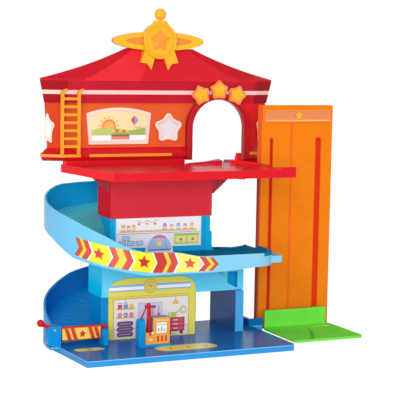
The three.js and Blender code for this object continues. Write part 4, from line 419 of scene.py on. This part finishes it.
def mesh_piece(name, points, faces, material, body, inks=None, smooth=False):
    """A mesh from mm points and faces, with one ink per face, that rides a body."""
    mesh = bpy.data.meshes.new(name)
    mesh.from_pydata(placed(points), [], faces)
    if inks is not None:
        counts = np.array([len(f) for f in faces])
        colours = np.repeat(np.array([linear(i) for i in inks]), counts, axis=0)
        mesh.color_attributes.new("ink", "FLOAT_COLOR", "CORNER").data.foreach_set(
            "color", colours.astype(np.float32).ravel())
    mesh.polygons.foreach_set("use_smooth", np.full(len(faces), smooth))
    mesh.materials.append(material)
    mesh.update()
    piece = bpy.data.objects.new(name, mesh)
    bpy.context.scene.collection.objects.link(piece)
    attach(piece, body)
    return piece


def printed(name, shapes, to_place, body):
    """Shapes laid flat on a surface: to_place turns across, up and lift in mm into a place."""
    points, faces, inks = [], [], []
    first = 0
    for ink, outline, layer in shapes:
        outline = np.asarray(outline, float)
        area = np.sum(outline[:, 0] * np.roll(outline[:, 1], -1) - np.roll(outline[:, 0], -1) * outline[:, 1])
        if area < 0:
            outline = outline[::-1]
        points.append(to_place(outline[:, 0], outline[:, 1], LAYER * (1 + layer)))
        faces.append(list(range(first, first + len(outline))))
        inks.append(ink)
        first += len(outline)
    return mesh_piece(name, np.concatenate(points), faces, sticker_ink, body, inks)


def on_front(node):
    """Onto the foremost face of a CAD node, which looks to the front."""
    y = (min(vertex.co.y for vertex in nodes[node].data.vertices) - CORNER[BACK]) / MM
    return lambda u, v, lift: np.stack([u, np.full_like(u, y - lift), v], 1)


def on_top(z):
    """Onto a face that looks up at height z."""
    return lambda u, v, lift: np.stack([u, v, np.full_like(u, z + lift)], 1)


# Relief: a pocket, rounded mouldings and raised stars

def storey_pocket():
    """Closed pocket behind the second storey's window hole: the hole's outline is carried from the wall to
    the back and closed there, with a 1.5 mm wall."""
    outline = np.array([(294, 110), (294, 91), (313, 82), (313, 110)], float)
    front, back, wall = 135.8, 142, 1.5
    count = len(outline)
    rings = [np.stack([outline[:, 0], np.full(count, y), outline[:, 1]], 1) for y in (front, back)]
    faces = grid_faces(2, count, "columns")[:, TURNED].tolist() + [list(range(count, 2 * count))]
    cyan = moulded("pocket_cyan", "08a6e0", "069ed8", 0.3, specular=0.1)
    piece = mesh_piece("storey_pocket", np.concatenate(rings), faces, cyan, "garage")
    shell = piece.modifiers.new("wall", "SOLIDIFY")
    shell.thickness, shell.offset = wall * MM, -1.0


storey_pocket()


def bead(name, outline, y, width, rise, material):
    """Half-round moulding along a closed outline on a face at depth y:
    point = outline + sideways * width / 2 * cos a, depth y - rise * sin a, for a from 0 to 180 degrees."""
    count, arc = len(outline), 9
    along = np.roll(outline, -1, axis=0) - np.roll(outline, 1, axis=0)
    side = np.stack([along[:, 1], -along[:, 0]], 1) / np.hypot(*along.T)[:, None]
    a = np.linspace(0, math.pi, arc)
    flat = outline[:, None] + side[:, None] * (width / 2 * np.cos(a))[None, :, None]
    deep = np.broadcast_to(y - rise * np.sin(a), flat.shape[:2])
    points = np.stack([flat[..., 0], deep, flat[..., 1]], -1).reshape(-1, 3)
    here = np.arange(count) * arc
    there = np.roll(here, -1)
    back = np.stack([here, here + arc - 1, there + arc - 1, there], 1)
    faces = grid_faces(count, arc, "rows").tolist() + back.tolist()
    mesh_piece(name, points, faces, material, "garage", smooth=True)


def crowned(name, outline, x, z, y, rise, material, power, turn=0.0):
    """Cushioned relief inside an outline about 0, 0 set on a face at depth y:
    point = centre + share * outline, depth y - rise * (0.35 + 0.65 * (1 - share ** power)),
    then the piece is turned about the upright line through its centre."""
    count = len(outline)
    shares = np.array([1.0, 1.0, 0.96, 0.82, 0.62, 0.4, 0.2, 0.04])
    lifts = rise * (0.35 + 0.65 * (1 - shares ** power))
    lifts[0] = 0.0
    flat = outline[None] * shares[:, None, None] + (x, z)
    u, w = flat[..., 0] - x, -np.repeat(lifts[:, None], count, 1)
    right, deep = u * math.cos(turn) - w * math.sin(turn), u * math.sin(turn) + w * math.cos(turn)
    points = np.stack([x + right, y + deep, flat[..., 1]], -1).reshape(-1, 3)
    faces = grid_faces(len(shares), count, "columns")[:, TURNED].tolist()
    faces += [list(range((len(shares) - 1) * count, len(shares) * count)), list(range(count - 1, -1, -1))]
    return mesh_piece(name, points, faces, material, "garage")


# Raised middles of the arch stars, which fan out about the middle one, and of the medal, with its two rims
ARCH_MIDDLE, STAR_SPACING, STAR_FACE, STAR_FAN = 305, 33.48, 200, 0.36
for side, name, z in ((-1, "left", 400), (0, "middle", 408), (1, "right", 400)):
    crowned("arch_star_crown_" + name, rounded_star(14.6, 0.6, -side * STAR_FAN),
            ARCH_MIDDLE + side * STAR_SPACING, z, STAR_FACE, 2.6, medal_yellow, power=1.1)
MEDAL_RIM, MEDAL_FIELD = 210.2, 211.5
crowned("medal_star_crown", rounded_star(20.6, 0.5), EMBLEM_X, EMBLEM_Z, MEDAL_FIELD, 4.6, star_orange,
        power=1.1)
bead("medal_rim", disc(EMBLEM_X, EMBLEM_Z, 27.6, 56), MEDAL_RIM, 3.6, 1.6, emblem_yellow)
bead("medal_inner_ring", disc(EMBLEM_X, EMBLEM_Z, 22.6, 56), MEDAL_FIELD, 1.4, 0.7, emblem_yellow)
window_centre, window_face = (217.4, 344), 211.9
bead("star_window_bead", rounded_star(26.0, 0.56) + window_centre, window_face, 5.8, 2.0, pale_frame)

# The end windows: half stars on the folded ends, cut short at the corner, with a pale border and a grey pane.
# The folded end starts 168 mm from the house's middle at depth 215, and goes back 14 mm in 32.5 mm.
fold_start, fold_depth, fold_slope = 168, 215, 14 / 32.5
pane_grey = moulded("window_pane_grey", "e9ebef", "d9dce3", 0.25)
for side, name, centre, squash, cut in ((-1, "left", 10.5, 0.46, 4.0), (1, "right", 395.5, 0.42, 6.5)):
    half = rounded_star(30, 0.56, 0.0, squash)
    half[:, 0] = side * np.minimum(side * half[:, 0], cut)
    face = fold_depth + (abs(centre - HOUSE_MIDDLE) - fold_start) * fold_slope
    border = crowned("star_window_border_" + name, half, centre, 343, face - 0.6, 2.2, pale_frame,
                     power=2.5, turn=side * FOLD)
    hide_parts("star_window_" + name)
    crowned("star_window_pane_" + name, half * (0.62, 0.7), centre, 343.5, face - 2.9, 0.7, pane_grey,
            power=4.0, turn=side * FOLD)


# The roof

def tent_roof():
    """Roof shell: rings of one folded plan line, drawn in towards the top. With share s of the way up, the
    half width goes from 209.5 to 60, the folds from 138 to 48, the creases from 43 to 16 and the front from
    207 to 226. The creases stand forward by 3.4 * (1 - s).
    Height = 425.5 + 50.5 * (0.72 s + 0.28 s ** 2.3). Corner points lie 0.4755 of the way along the end
    slopes, but at the eave they come forward to the valance's corners, so that no gap is left there."""
    s = np.array([0.0, 0.0, 0.12, 0.25, 0.38, 0.5, 0.62, 0.74, 0.87, 1.0])[:, None]
    eave_foot, eave, rise, corner_share = 422.5, 425.5, 50.5, 0.4755
    valance_corner, valance_depth, back_return = 175.5, 207, 18
    whole, fold, crease = 209.5 - 149.5 * s, 138 - 90 * s, 43 - 27 * s
    front, end, back = 207 + 19 * s, 225 + 4 * s, np.full_like(s, 262.0)
    corner, corner_depth = whole + corner_share * (fold - whole), end + corner_share * (front - end)
    corner[:2], corner_depth[:2] = valance_corner, valance_depth
    half = np.concatenate([whole - back_return, whole, corner, fold, crease], 1)
    depth = np.concatenate([back, end, corner_depth, front, front - 3.4 * (1 - s)], 1)
    x = HOUSE_MIDDLE + np.concatenate([-half, half[:, ::-1]], 1)
    y = np.concatenate([depth, depth[:, ::-1]], 1)
    rings, columns = x.shape
    z = np.repeat(eave + rise * (0.72 * s + 0.28 * s ** 2.3), columns, 1)
    # The first ring is the eave's lower edge
    z[0] = eave_foot
    faces = grid_faces(rings, columns)[:, TURNED].tolist()
    faces += [list(range((rings - 1) * columns, rings * columns))]
    points = np.stack([x, y, z], -1).reshape(-1, 3)
    roof = mesh_piece("tent_roof", points, faces, roof_red, "garage")
    wall = roof.modifiers.new("wall", "SOLIDIFY")
    wall.thickness, wall.offset = 3 * MM, -1.0
    # The facet between the left fold and crease is painted lighter as light falling on it, and the folded
    # ends darker as shade
    roof.data.materials.append(moulded("roof_painted_light_facet", "e12c36", "dc2932", 0.34, specular=0.08))
    roof.data.materials.append(moulded("roof_end_painted_shade", "c8202c", "c11e2a", 0.4, specular=0.01))
    plain, light, dark = 0, 1, 2
    left_to_right = [plain, dark, dark, light, plain, plain, dark, dark, plain]
    roof.data.polygons.foreach_set("material_index", left_to_right * (rings - 1) + [plain])
    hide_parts("roof")


tent_roof()


# Printed band, cards and marks

def band_place(u, v, lift):
    """u mm along the outer wall from where the turn ends, v from 0 at the band's foot to 1 at its top.
    Before 0 the place is on the circle round the ramp's axis, after 0 on the straight apron."""
    low = np.interp(u, (-119, -93.6, -63.8, -30.8, 14, 53, 126),
                    (158, 150.7, 142.9, 136.9, 130.9, 129.7, 129.5))
    high = np.interp(u, (-115, -71.7, -26.4, -10, 0, 19, 38, 52, 60, 74, 90, 112.7, 126),
                     (184.8, 175.7, 166.8, 164.9, 162.5, 162.3, 161.7, 160.2, 158.9, 155.9, 153.0, 150.2,
                      149.5))
    angle = 1.5 * math.pi + np.minimum(u, 0) / RAMP_OUTER
    reach = RAMP_OUTER + lift
    x = np.where(u < 0, RAMP_X + reach * np.cos(angle), RAMP_X + u)
    y = np.where(u < 0, RAMP_Y + reach * np.sin(angle), RAMP_Y - reach)
    return np.stack([x, y, low + (high - low) * v], -1)


def chevron_band():
    """Stripes across the band, each on its own small grid, with three stars on them:
    u = start + share * width + tip * (1 - |2 v - 1|) - 1.5 * (1 - v), with longer tips at the right end."""
    red, rose, yellow, gold, white = "c0261f", "c94331", "e9df0c", "edca3c", "fffdf2"
    stripes = [(-115.2, -107.3, rose), (-107.3, -101.8, gold), (-101.8, -92.7, rose), (-92.7, -90, white),
               (-90, -61.7, yellow), (-61.7, -59.5, white), (-59.5, -50, rose), (-50, -38.2, gold),
               (-38.2, -27.6, rose), (-27.6, -24.9, white), (-24.9, 8.6, yellow), (8.6, 11, white),
               (11, 27.8, red), (27.8, 34.2, gold), (34.2, 46.3, rose), (46.3, 49.3, white),
               (49.3, 86.4, "eae26c"), (86.4, 88.7, white), (88.7, 99.8, rose), (99.8, 106.9, gold),
               (106.9, 113.9, rose)]
    points, faces, inks = [], [], []
    first, rows = 0, 13
    for start, end, ink in stripes:
        columns = max(2, int((end - start) / 4) + 1)
        s, v = np.meshgrid(np.linspace(0, 1, columns), np.linspace(0, 1, rows), indexing="ij")
        tip = 7.5 if start < 80 else 7.5 * 1.35
        u = start + (end - start) * s + tip * (1 - np.abs(2 * v - 1)) - 1.5 * (1 - v)
        points.append(band_place(u.ravel(), v.ravel(), 0.08))
        faces += grid_faces(columns, rows, first=first).tolist()
        inks += [ink] * (columns - 1) * (rows - 1)
        first += columns * rows
    band_height = 31.0
    shares = np.linspace(0.02, 1, 5)
    for centre, radius, ink in ((-74.9, 9.8, "c83222"), (-4.2, 11.0, "bc1418"), (73.2, 10.6, "d65440")):
        # A star as a fan of rings: radius share times the outline's offset from the centre
        outline = star(0, 0, radius, 0.48)
        rings = shares[:, None, None] * outline[None]
        u = centre + rings[..., 0]
        points.append(band_place(u.ravel(), (0.5 + rings[..., 1] / band_height).ravel(), 0.14))
        faces += grid_faces(len(shares), len(outline), "columns", first).tolist()
        faces += [list(range(first, first + len(outline)))]
        inks += [ink] * ((len(shares) - 1) * len(outline) + 1)
        first += len(shares) * len(outline)
    mesh_piece("chevron_band", np.concatenate(points), faces, sticker_ink, "garage", inks)


chevron_band()


def board_print():
    """Picture board of the lower storey: a workshop wall in the frame's colours, with a wheel badge above."""
    shapes = [("93b4dd", bar(84.4, 94.6, 226.4, 98), 0), ("fbfdff", bar(84.2, 89.6, 226.4, 94.6), 0),
               ("93b4dd", bar(84, 87.6, 226.2, 89.6), 0)]
    # A wheel badge stands where a sign would be: discs and three spokes across them
    x, z = 155, 94.5
    shapes += [(ink, disc(x, z, radius), 1 + i) for i, (ink, radius) in enumerate(
        (("c9a63c", 11.8), ("e6d152", 10.6), ("d0a93f", 6.8), ("efe07a", 5.6)))]
    shapes += [("cf9f3c", stroke([(x - 5 * c, z - 5 * s), (x + 5 * c, z + 5 * s)], 1.2), 5)
               for c, s in ((1, 0), (0.5, 0.87), (-0.5, 0.87))]
    shapes += [("b98f35", bar(84, 78.4, 226.3, 79), 1)]
    shapes += [("cf8f45", bar(90.8, 11.6, 223.6, 75.8), 0), ("eee6e0", bar(92, 12, 222.4, 74.6), 1),
               ("e3d7d2", bar(92, 12, 222.4, 27), 2), ("c9a08c", bar(92, 26.4, 222.4, 27.4), 3)]
    # Shelf of tins
    shapes += [("e2a04a", bar(96, 58, 128, 60), 3), ("e2a04a", bar(96, 44, 128, 46), 3)]
    for i, (tin, lid) in enumerate((("d24a5a", "f3d9d6"), ("6d8fc6", "dfe7f4"), ("e9c64d", "fff3c2"))):
        x = 98.5 + 10 * i
        shapes += [(tin, bar(x, 60, x + 7.5, 69), 4), (lid, bar(x, 66.5, x + 7.5, 68), 5),
                   ("8e6aa8" if i % 2 else "c9566f", disc(x + 3.8, 49.5, 3.6), 4),
                   ("f2e6ee", disc(x + 3.8, 49.5, 1.5), 5)]
    # Pile of tyres
    for i in range(3):
        z = 13.5 + 8.6 * i
        shapes += [("6b4a72", pill(97.5, z, 125.5, z + 8.2), 4),
                   ("a684ad", pill(101, z + 3, 122, z + 5.2), 5)]
    # Tool board with spanner, hammer and screwdriver
    shapes += [("ddcbe2", bar(134, 36, 176, 67), 3), ("c3a8cf", stroke(
        [(134, 36), (176, 36), (176, 67), (134, 67), (134.01, 36.01)], 0.9), 4)]
    shapes += [("c2327c", stroke([(140, 42), (148, 60)], 2.6), 5), ("c2327c", disc(148.6, 61.4, 3.6), 5),
               ("ddcbe2", disc(149.4, 63.4, 1.6), 6), ("c2327c", disc(139.4, 40.8, 2.8), 5),
               ("e39a3c", stroke([(159, 40), (159, 58)], 2.4), 5),
               ("6d5f9c", bar(153.5, 57.5, 164.5, 62.5), 6),
               ("c8433c", stroke([(170, 40.5), (170, 49)], 4), 5),
               ("8f93a8", stroke([(170, 49), (170, 61)], 1.6), 5)]
    # Red trolley with drawers, and an oil can on it
    shapes += [("b92b45", bar(184, 17, 216, 40), 4), ("e0526a", bar(186, 33.5, 214, 38), 5)]
    shapes += [("e0526a", bar(186, z, 214, z + 5), 5) for z in (26.5, 19.5)]
    shapes += [("f7e3e6", pill(196, z, 204, z + 1.4), 6) for z in (21.2, 28.3, 35)]
    shapes += [("4b3a55", disc(189.5, 15, 2.9), 5), ("4b3a55", disc(210.5, 15, 2.9), 5)]
    shapes += [("c8c93f", [(190, 40), (202, 40), (200, 49), (192, 49)], 5),
               ("9aa02f", stroke([(200, 46), (207, 53)], 1.3), 4),
               ("9aa02f", stroke(disc(190, 44.6, 3.4, 14, 1.6, 4.7), 1.1), 4)]
    # Hanging lamps and a coiled air hose
    shapes += [("9a7a52", bar(x - 0.5, 69, x + 0.5, 74.6), 3) for x in (112, 200)]
    shapes += [("f0b45a", [(194, 62), (206, 62), (202.5, 69), (197.5, 69)], 4),
               ("fff2b0", [(195.5, 60.4), (204.5, 60.4), (206, 62), (194, 62)], 5)]
    shapes += [("b7b83a", stroke(disc(213.5, 52, 6 - i * 2.1), 1.1), 4) for i in range(2)]
    shapes += [("d9a94a", bar(134, 12, 176, 24), 4), ("f0cf6a", bar(136, 14, 154, 22), 5),
               ("f0cf6a", bar(156, 14, 174, 22), 5)]
    printed("workshop_board_print", shapes, on_front("front_picture_board"), "garage")


board_print()


def middle_print():
    """Back wall of the middle storey: a shelf over a counter and crates."""
    shapes = [("f3f2f6", bar(96, 158, 243.4, 204.4), 0), ("e6e3ee", bar(96, 158, 243.4, 180), 1),
              ("7fa3cf", bar(96, 179.4, 243.4, 180.6), 2), ("eeb86a", bar(100, 182.6, 236, 185), 2),
              ("d89a4c", bar(100, 182.2, 236, 182.9), 3)]
    for x, ink, tall in ((104, "f0b77a", 8.6), (113, "ee9fb4", 7.4), (122, "e9c35d", 8.2),
                         (176, "c98fc2", 9.4), (188, "f0b77a", 7), (200, "9fc0e6", 8.8),
                         (212, "ee9fb4", 7.6), (224, "e9c35d", 8.4)):
        shapes += [(ink, bar(x, 185, x + 6.4, 185 + tall), 3), ("fbf6ee", bar(x + 1, 187, x + 5.4, 189.4), 4),
                   ("b5695a", bar(x + 0.8, 185 + tall, x + 5.6, 186 + tall), 4)]
    shapes += [("d98f3e", stroke(wave(130, 168, 199, 1.6, 2.5), 0.9), 3)]
    shapes += [(ink, star(x, 195.5, 3, 0.5), 4)
               for x, ink in ((134, "e25a4c"), (148, "e9b23c"), (162, "d45f9a"))]
    # Yellow-green counter at the right, blue crates at the left
    shapes += [("c6cf57", bar(196, 160.5, 240, 176), 2), ("a9b83f", bar(196, 175, 241, 177.6), 3),
               ("dfe58d", bar(199, 163, 217, 173), 3), ("dfe58d", bar(220, 163, 238, 173), 3),
               ("d45f6e", disc(208, 168, 2.4), 4), ("d45f6e", disc(229, 168, 2.4), 4)]
    for x, z in ((99, 160.5), (114, 160.5), (129, 160.5), (106, 169)):
        shapes += [("8fa9cf", bar(x, z, x + 13, z + 8), 2),
                   ("c5d3e8", bar(x + 1.4, z + 1.4, x + 11.6, z + 6.6), 3),
                   ("8fa9cf", bar(x + 1.4, z + 3.6, x + 11.6, z + 4.4), 4)]
    printed("middle_wall_print", shapes, on_front("middle_picture_panel"), "garage")


middle_print()


def dome_print():
    """The card's dome: a blue body under a red cap, with ribs and a yellow disc.
    Outline = middle + 20.4 * cos t across and 151.4 + 26 * sin t up; the cap is what lies above 171.2."""
    middle = 169
    t = np.linspace(0.06, math.pi - 0.06, 26)
    body = np.stack([middle + 20.4 * np.cos(t), 151.4 + 26 * np.sin(t)], 1)
    cap = body[body[:, 1] > 171.2]
    shapes = [("5a4f72", body, 0), ("a9c4ec", 0.955 * (body - (middle, 151.4)) + (middle, 152), 1),
              ("c8365a", cap, 2), ("e77a94", 0.8 * (cap - (middle, 173.5)) + (middle, 173.8), 3),
              ("6e86b8", bar(149.6, 151.2, 188.4, 153), 2), ("f2cf3a", disc(middle, 163, 4.6), 4),
              ("fae98a", disc(middle, 163, 2.6), 5)]
    shapes += [("7f9bd0", stroke([(middle + s * 13, 153), (middle + s * 9.5, 171)], 0.7), 3) for s in (-1, 1)]
    printed("dome_print", shapes, on_front("dome_card"), "garage")


dome_print()


def window_print():
    """View in the arched window: hills, a low sun, a kite and a white sill with a flower box."""
    shapes = [("f7ecd2", bar(81.5, 324.6, 176.5, 366), 0)]
    t = np.linspace(0, 1, 17)
    shapes += [("f9dfa8", np.concatenate([np.stack([79.6 + 98.8 * t, 366 + 7 * (1 - (2 * t - 1) ** 2)], 1),
                                          [(176.2, 330), (82.2, 330)]]), 1)]
    # The sun and its rays
    x, z = 112, 347
    shapes += [("f28a3c", disc(x, z, 12.5), 2), ("f6b45e", disc(x, z, 9), 3)]
    shapes += [("f28a3c", stroke([(x + r * math.cos(a), z + r * math.sin(a)) for r in (14, 18)], 1.6), 2)
               for a in np.linspace(0.1, 3.04, 7)]
    shapes += [("b9cf6a", np.concatenate([wave(82, 176.4, 342, 3.5, 1.3), [(176.4, 332), (82, 332)]]), 4),
               ("93bd56", np.concatenate([wave(120, 176.4, 346, -5, 0.5), [(176.4, 332), (120, 332)]]), 5)]
    shapes += [("7fa4dc", [(150, 358), (157, 366), (164, 357.5), (157, 349)], 5),
               ("d84a4a", [(150, 358), (157, 366), (157, 349)], 6),
               ("8a6fae", stroke(wave(157, 168, 346, 1.2, 1.5), 0.7), 6)]
    shapes += [("fbfdff", bar(81.2, 324.6, 176.8, 333.4), 7), ("b9c4d2", bar(81.2, 332.8, 176.8, 333.8), 8),
               ("c77a5e", bar(116, 326, 148, 334.6), 8), ("e39a78", bar(117.4, 327.4, 146.6, 329.4), 9)]
    for x, ink in ((120, "f4c63f"), (126, "e8574e"), (132, "f4c63f"), (138, "e8574e"), (144, "f4c63f")):
        shapes += [("5f9e48", bar(x - 0.5, 334.6, x + 0.5, 339), 8), (ink, disc(x, 340, 2.4, 14), 9)]
    printed("window_view_print", shapes, on_front("window_picture"), "garage")


window_print()


def station_print():
    """Pay panel: screen with a plain chart, a row of small triangles, three keys and a dot."""
    shapes = [("f6c65a", bar(135.6, 49.6, 158.4, 54), 0)]
    shapes += [("e08a2c", [(x, 53.6), (x + 4.6, 53.6), (x + 2.3, 50.2)], 1)
               for x in (136.4, 141.8, 147.2, 152.6)]
    shapes += [("c9803a", bar(137.4, 29.8, 156.4, 48.2), 0), ("f3f1ea", bar(138.2, 30.6, 155.6, 47.4), 1),
               ("b9c8dd", bar(139.6, 43, 154.2, 45.4), 2)]
    shapes += [("8fa5c6", bar(x, 32.6, x + 2.6, 32.6 + tall), 2)
               for x, tall in ((140.6, 6), (145.4, 8.4), (150.4, 4.6))]
    shapes += [("cc2f2f", bar(x, 17, x + 3.4, 26.4), 1) for x in (139.4, 146, 152.6)]
    shapes += [("d6403a", disc(127.4, 29.4, 2.6, 20), 1), ("fbe9d6", disc(132, 31.6, 1.7, 16), 1),
               ("d98a36", bar(124, 17.6, 132.6, 24), 1), ("f7cf8c", bar(125, 18.6, 131.6, 23), 2)]
    printed("station_print", shapes, on_front("station_board"), "garage")


station_print()


def gate_print():
    """Slanted red stripes on yellow with a red star, on the barrier's panel."""
    left, right, low, high, edge, lean = -1.4, 62.0, 19.1, 37.9, 0.4, 6.0
    foot = low + 2 * edge
    shapes = [("6b1f24", bar(left - edge, low - edge, right + edge, high + edge), 0),
              ("fdd04a", bar(left, foot, right, high), 1)]
    for x in (2.5, 12.5, 41.5, 51.0):
        for ink, start, wide, layer in (("f08a3a", x - 1, 7.6, 2), ("d2382c", x, 5.2, 3)):
            end = start + wide
            stripe = np.array([(start, high), (end, high), (end + lean, foot), (start + lean, foot)])
            stripe[:, 0] = np.minimum(stripe[:, 0], right + edge)
            shapes += [(ink, stripe, layer)]
    shapes += [("fbe27a", star(32, 28.4, 9.4, 0.5), 4), ("d3382f", star(32, 28.2, 7.2, 0.46), 5)]
    printed("barrier_print", shapes, on_front("gate_panel"), "barrier")


gate_print()


def floor_prints():
    """Two long parking marks on the base, each a yellow rounded field with small arrows."""
    def mark(x0, y0, x1, y1, count):
        """A mark between two corners, with that many arrows in a row."""
        fields = (("cdbb3a", 0), ("ecd94f", 1.2), ("6fae6a", 3), ("f1e067", 4.2))
        shapes = [(ink, pill(x0 + inset, y0 + inset, x1 - inset, y1 - inset), layer)
                  for layer, (ink, inset) in enumerate(fields)]
        arrow = np.array([(0, -6), (4, -6), (10, 0), (4, 6), (0, 6), (6, 0)])
        return shapes + [("d9503f", arrow + (x, (y0 + y1) / 2), 4)
                         for x in np.linspace(x0 + 20, x1 - 24, count)]
    printed("parking_mark_left", mark(6, 66, 56, 88, 1), on_top(BASE_TOP), "garage")
    printed("parking_mark_right", mark(128, 22, 232, 62, 3), on_top(BASE_TOP), "garage")


floor_prints()


def frieze_print():
    """Pale band on the tower's header with a zigzag of darker lines."""
    x = np.linspace(386, 500, 29)
    z = np.where(np.arange(29) % 2, 361.5, 368.5)
    shapes = [("e38648", bar(379, 357, 504.6, 375.6), 0), ("f2ae80", bar(379, 357, 504.6, 359), 1),
              ("da7434", bar(379, 373.6, 504.6, 374.4), 1), ("d06a2c", stroke(np.stack([x, z], 1), 1.3), 2),
              ("d06a2c", bar(383, 370.2, 501, 371), 2)]
    printed("header_frieze_print", shapes, on_front("tower_casing"), "garage")


frieze_print()


def lift_prints():
    """Marks on the lift's platform: a dark green strip that narrows towards the back, a yellow arrow and
    three short lines.
    """
    curve = np.array([(409, 47), (416, 58), (430, 84), (441, 106), (446, 122), (448.5, 136)], float)
    widths = np.array([6.6, 7.2, 7.6, 6.4, 3.4, 1.6])[:, None]
    shapes = [("2f9a4a", stroke(curve, widths), 0)]
    shapes += [("c9d338", [(460, 136), (484, 136), (484, 131), (495, 140), (484, 149), (484, 144),
                           (460, 144)], 0),
               ("e3e04a", [(463, 138), (485, 138), (485, 135), (491, 140), (485, 145), (485, 142),
                           (463, 142)], 1)]
    shapes += [("4aa63e", stroke([(388 + 4 * i, 96 + 12 * i), (414 + 4 * i, 96 + 12 * i)], 1.2), 0)
               for i in range(3)]
    printed("lift_floor_print", shapes, on_top(PLATFORM_TOP), "lift")


lift_prints()


# Stage, light and camera

def looks(tree):
    """1 for a ray by which the camera, a gloss or glass looks, and 0 for one that only brings light."""
    ray = add(tree, "LightPath").outputs
    direct = add(tree, "Math", {0: ray["Is Camera Ray"], 1: ray["Is Glossy Ray"]}).outputs[0]
    return add(tree, "Math", {0: direct, 1: ray["Is Transmission Ray"]}, use_clamp=True).outputs[0]


def floor_material():
    """Pale studio floor: it keeps the shadow, and the camera, gloss and glass see it nearly white."""
    material, tree, shader, place = started("studio_floor_paper")
    tree.nodes.remove(shader)
    paper = add(tree, "TexNoise", {"Vector": place, "Scale": 1000 / 250}).outputs["Fac"]
    pale = add(tree, "Mix", {0: paper, 6: linear("f4f4f2"), 7: linear("f7f7f5")}, data_type="RGBA").outputs[2]
    plain = add(tree, "BsdfDiffuse", {"Color": pale}).outputs[0]
    soft = add(tree, "BsdfDiffuse", {"Color": linear("8a8a89")}).outputs[0]
    glow = add(tree, "Emission", {"Color": (1.0, 1.0, 0.995, 1.0), "Strength": 0.9}).outputs[0]
    white = add(tree, "AddShader", {0: soft, 1: glow}).outputs[0]
    mixed = add(tree, "MixShader", {0: looks(tree), 1: plain, 2: white}).outputs[0]
    tree.links.new(mixed, tree.nodes["Material Output"].inputs["Surface"])
    return material


# A sheet 24 m wide, just under the base
reach, level = 12, -0.0002
floor_mesh = bpy.data.meshes.new("studio_floor")
floor_mesh.from_pydata([(-reach, -reach, level), (reach, -reach, level), (reach, reach, level),
                        (-reach, reach, level)], [], [(0, 1, 2, 3)])
floor_mesh.materials.append(floor_material())
studio_floor = bpy.data.objects.new("studio_floor", floor_mesh)
bpy.context.scene.collection.objects.link(studio_floor)

world = bpy.data.worlds.new("studio_world")
world.use_nodes = True
bpy.context.scene.world = world
sky = world.node_tree
# White to the eye, and little more than half as bright as a light
strength = add(sky, "MapRange", {"Value": looks(sky), "To Min": 0.55, "To Max": 1.0}).outputs[0]
sky.nodes["Background"].inputs["Color"].default_value = (1.0, 1.0, 1.0, 1.0)
sky.links.new(strength, sky.nodes["Background"].inputs["Strength"])


def lamp(name, place, target, size, power):
    """A square soft box of size metres and power watts at a place. Its z axis is place - target."""
    data = bpy.data.lights.new(name, "AREA")
    data.shape = "SQUARE"
    data.size = size
    data.energy = power
    made = bpy.data.objects.new(name, data)
    bpy.context.scene.collection.objects.link(made)
    away = np.array(place, float) - np.array(target, float)
    away /= np.linalg.norm(away)
    right = np.cross((0, 0, 1), away)
    right /= np.linalg.norm(right)
    up = np.cross(away, right)
    turned = Matrix.Identity(4)
    for i in range(3):
        turned[i][0], turned[i][1], turned[i][2], turned[i][3] = right[i], up[i], away[i], place[i]
    made.matrix_world = turned


lamp("key_soft_box", (-1.9, -2.1, 0.9), (0, 0, 0.22), size=1.8, power=24)
lamp("front_soft_box", (-1.0, -2.3, 0.6), (0, 0, 0.22), size=1.2, power=22)
lamp("fill_soft_box", (1.9, -1.8, 1.1), (0, 0, 0.25), size=1.6, power=7)
lamp("top_soft_box", (0.1, 0.2, 2.4), (0, 0.01, 0.2), size=1.8, power=6)

# The photograph's view: right, up and back axes in rows, the place in metres and the lens in mm
AXES = np.array([[0.90821061, -0.41813153, 0.01787481], [0.02815606, 0.10365882, 0.99421431],
                 [-0.41756524, -0.90245215, 0.10591698]])
EYE = (-0.92644443, -2.023225, 0.46779953)
view_data = bpy.data.cameras.new("photo_camera")
view_data.lens = 123.12
view_data.sensor_width = 36.0
view_data.clip_end = 50
camera = bpy.data.objects.new("photo_camera", view_data)
bpy.context.scene.collection.objects.link(camera)
view_matrix = Matrix.Identity(4)
for i in range(3):
    for j in range(3):
        view_matrix[i][j] = float(AXES[j][i])
    view_matrix[i][3] = EYE[i]
camera.matrix_world = view_matrix
bpy.context.scene.camera = camera
bpy.context.scene.view_settings.view_transform = "Standard"
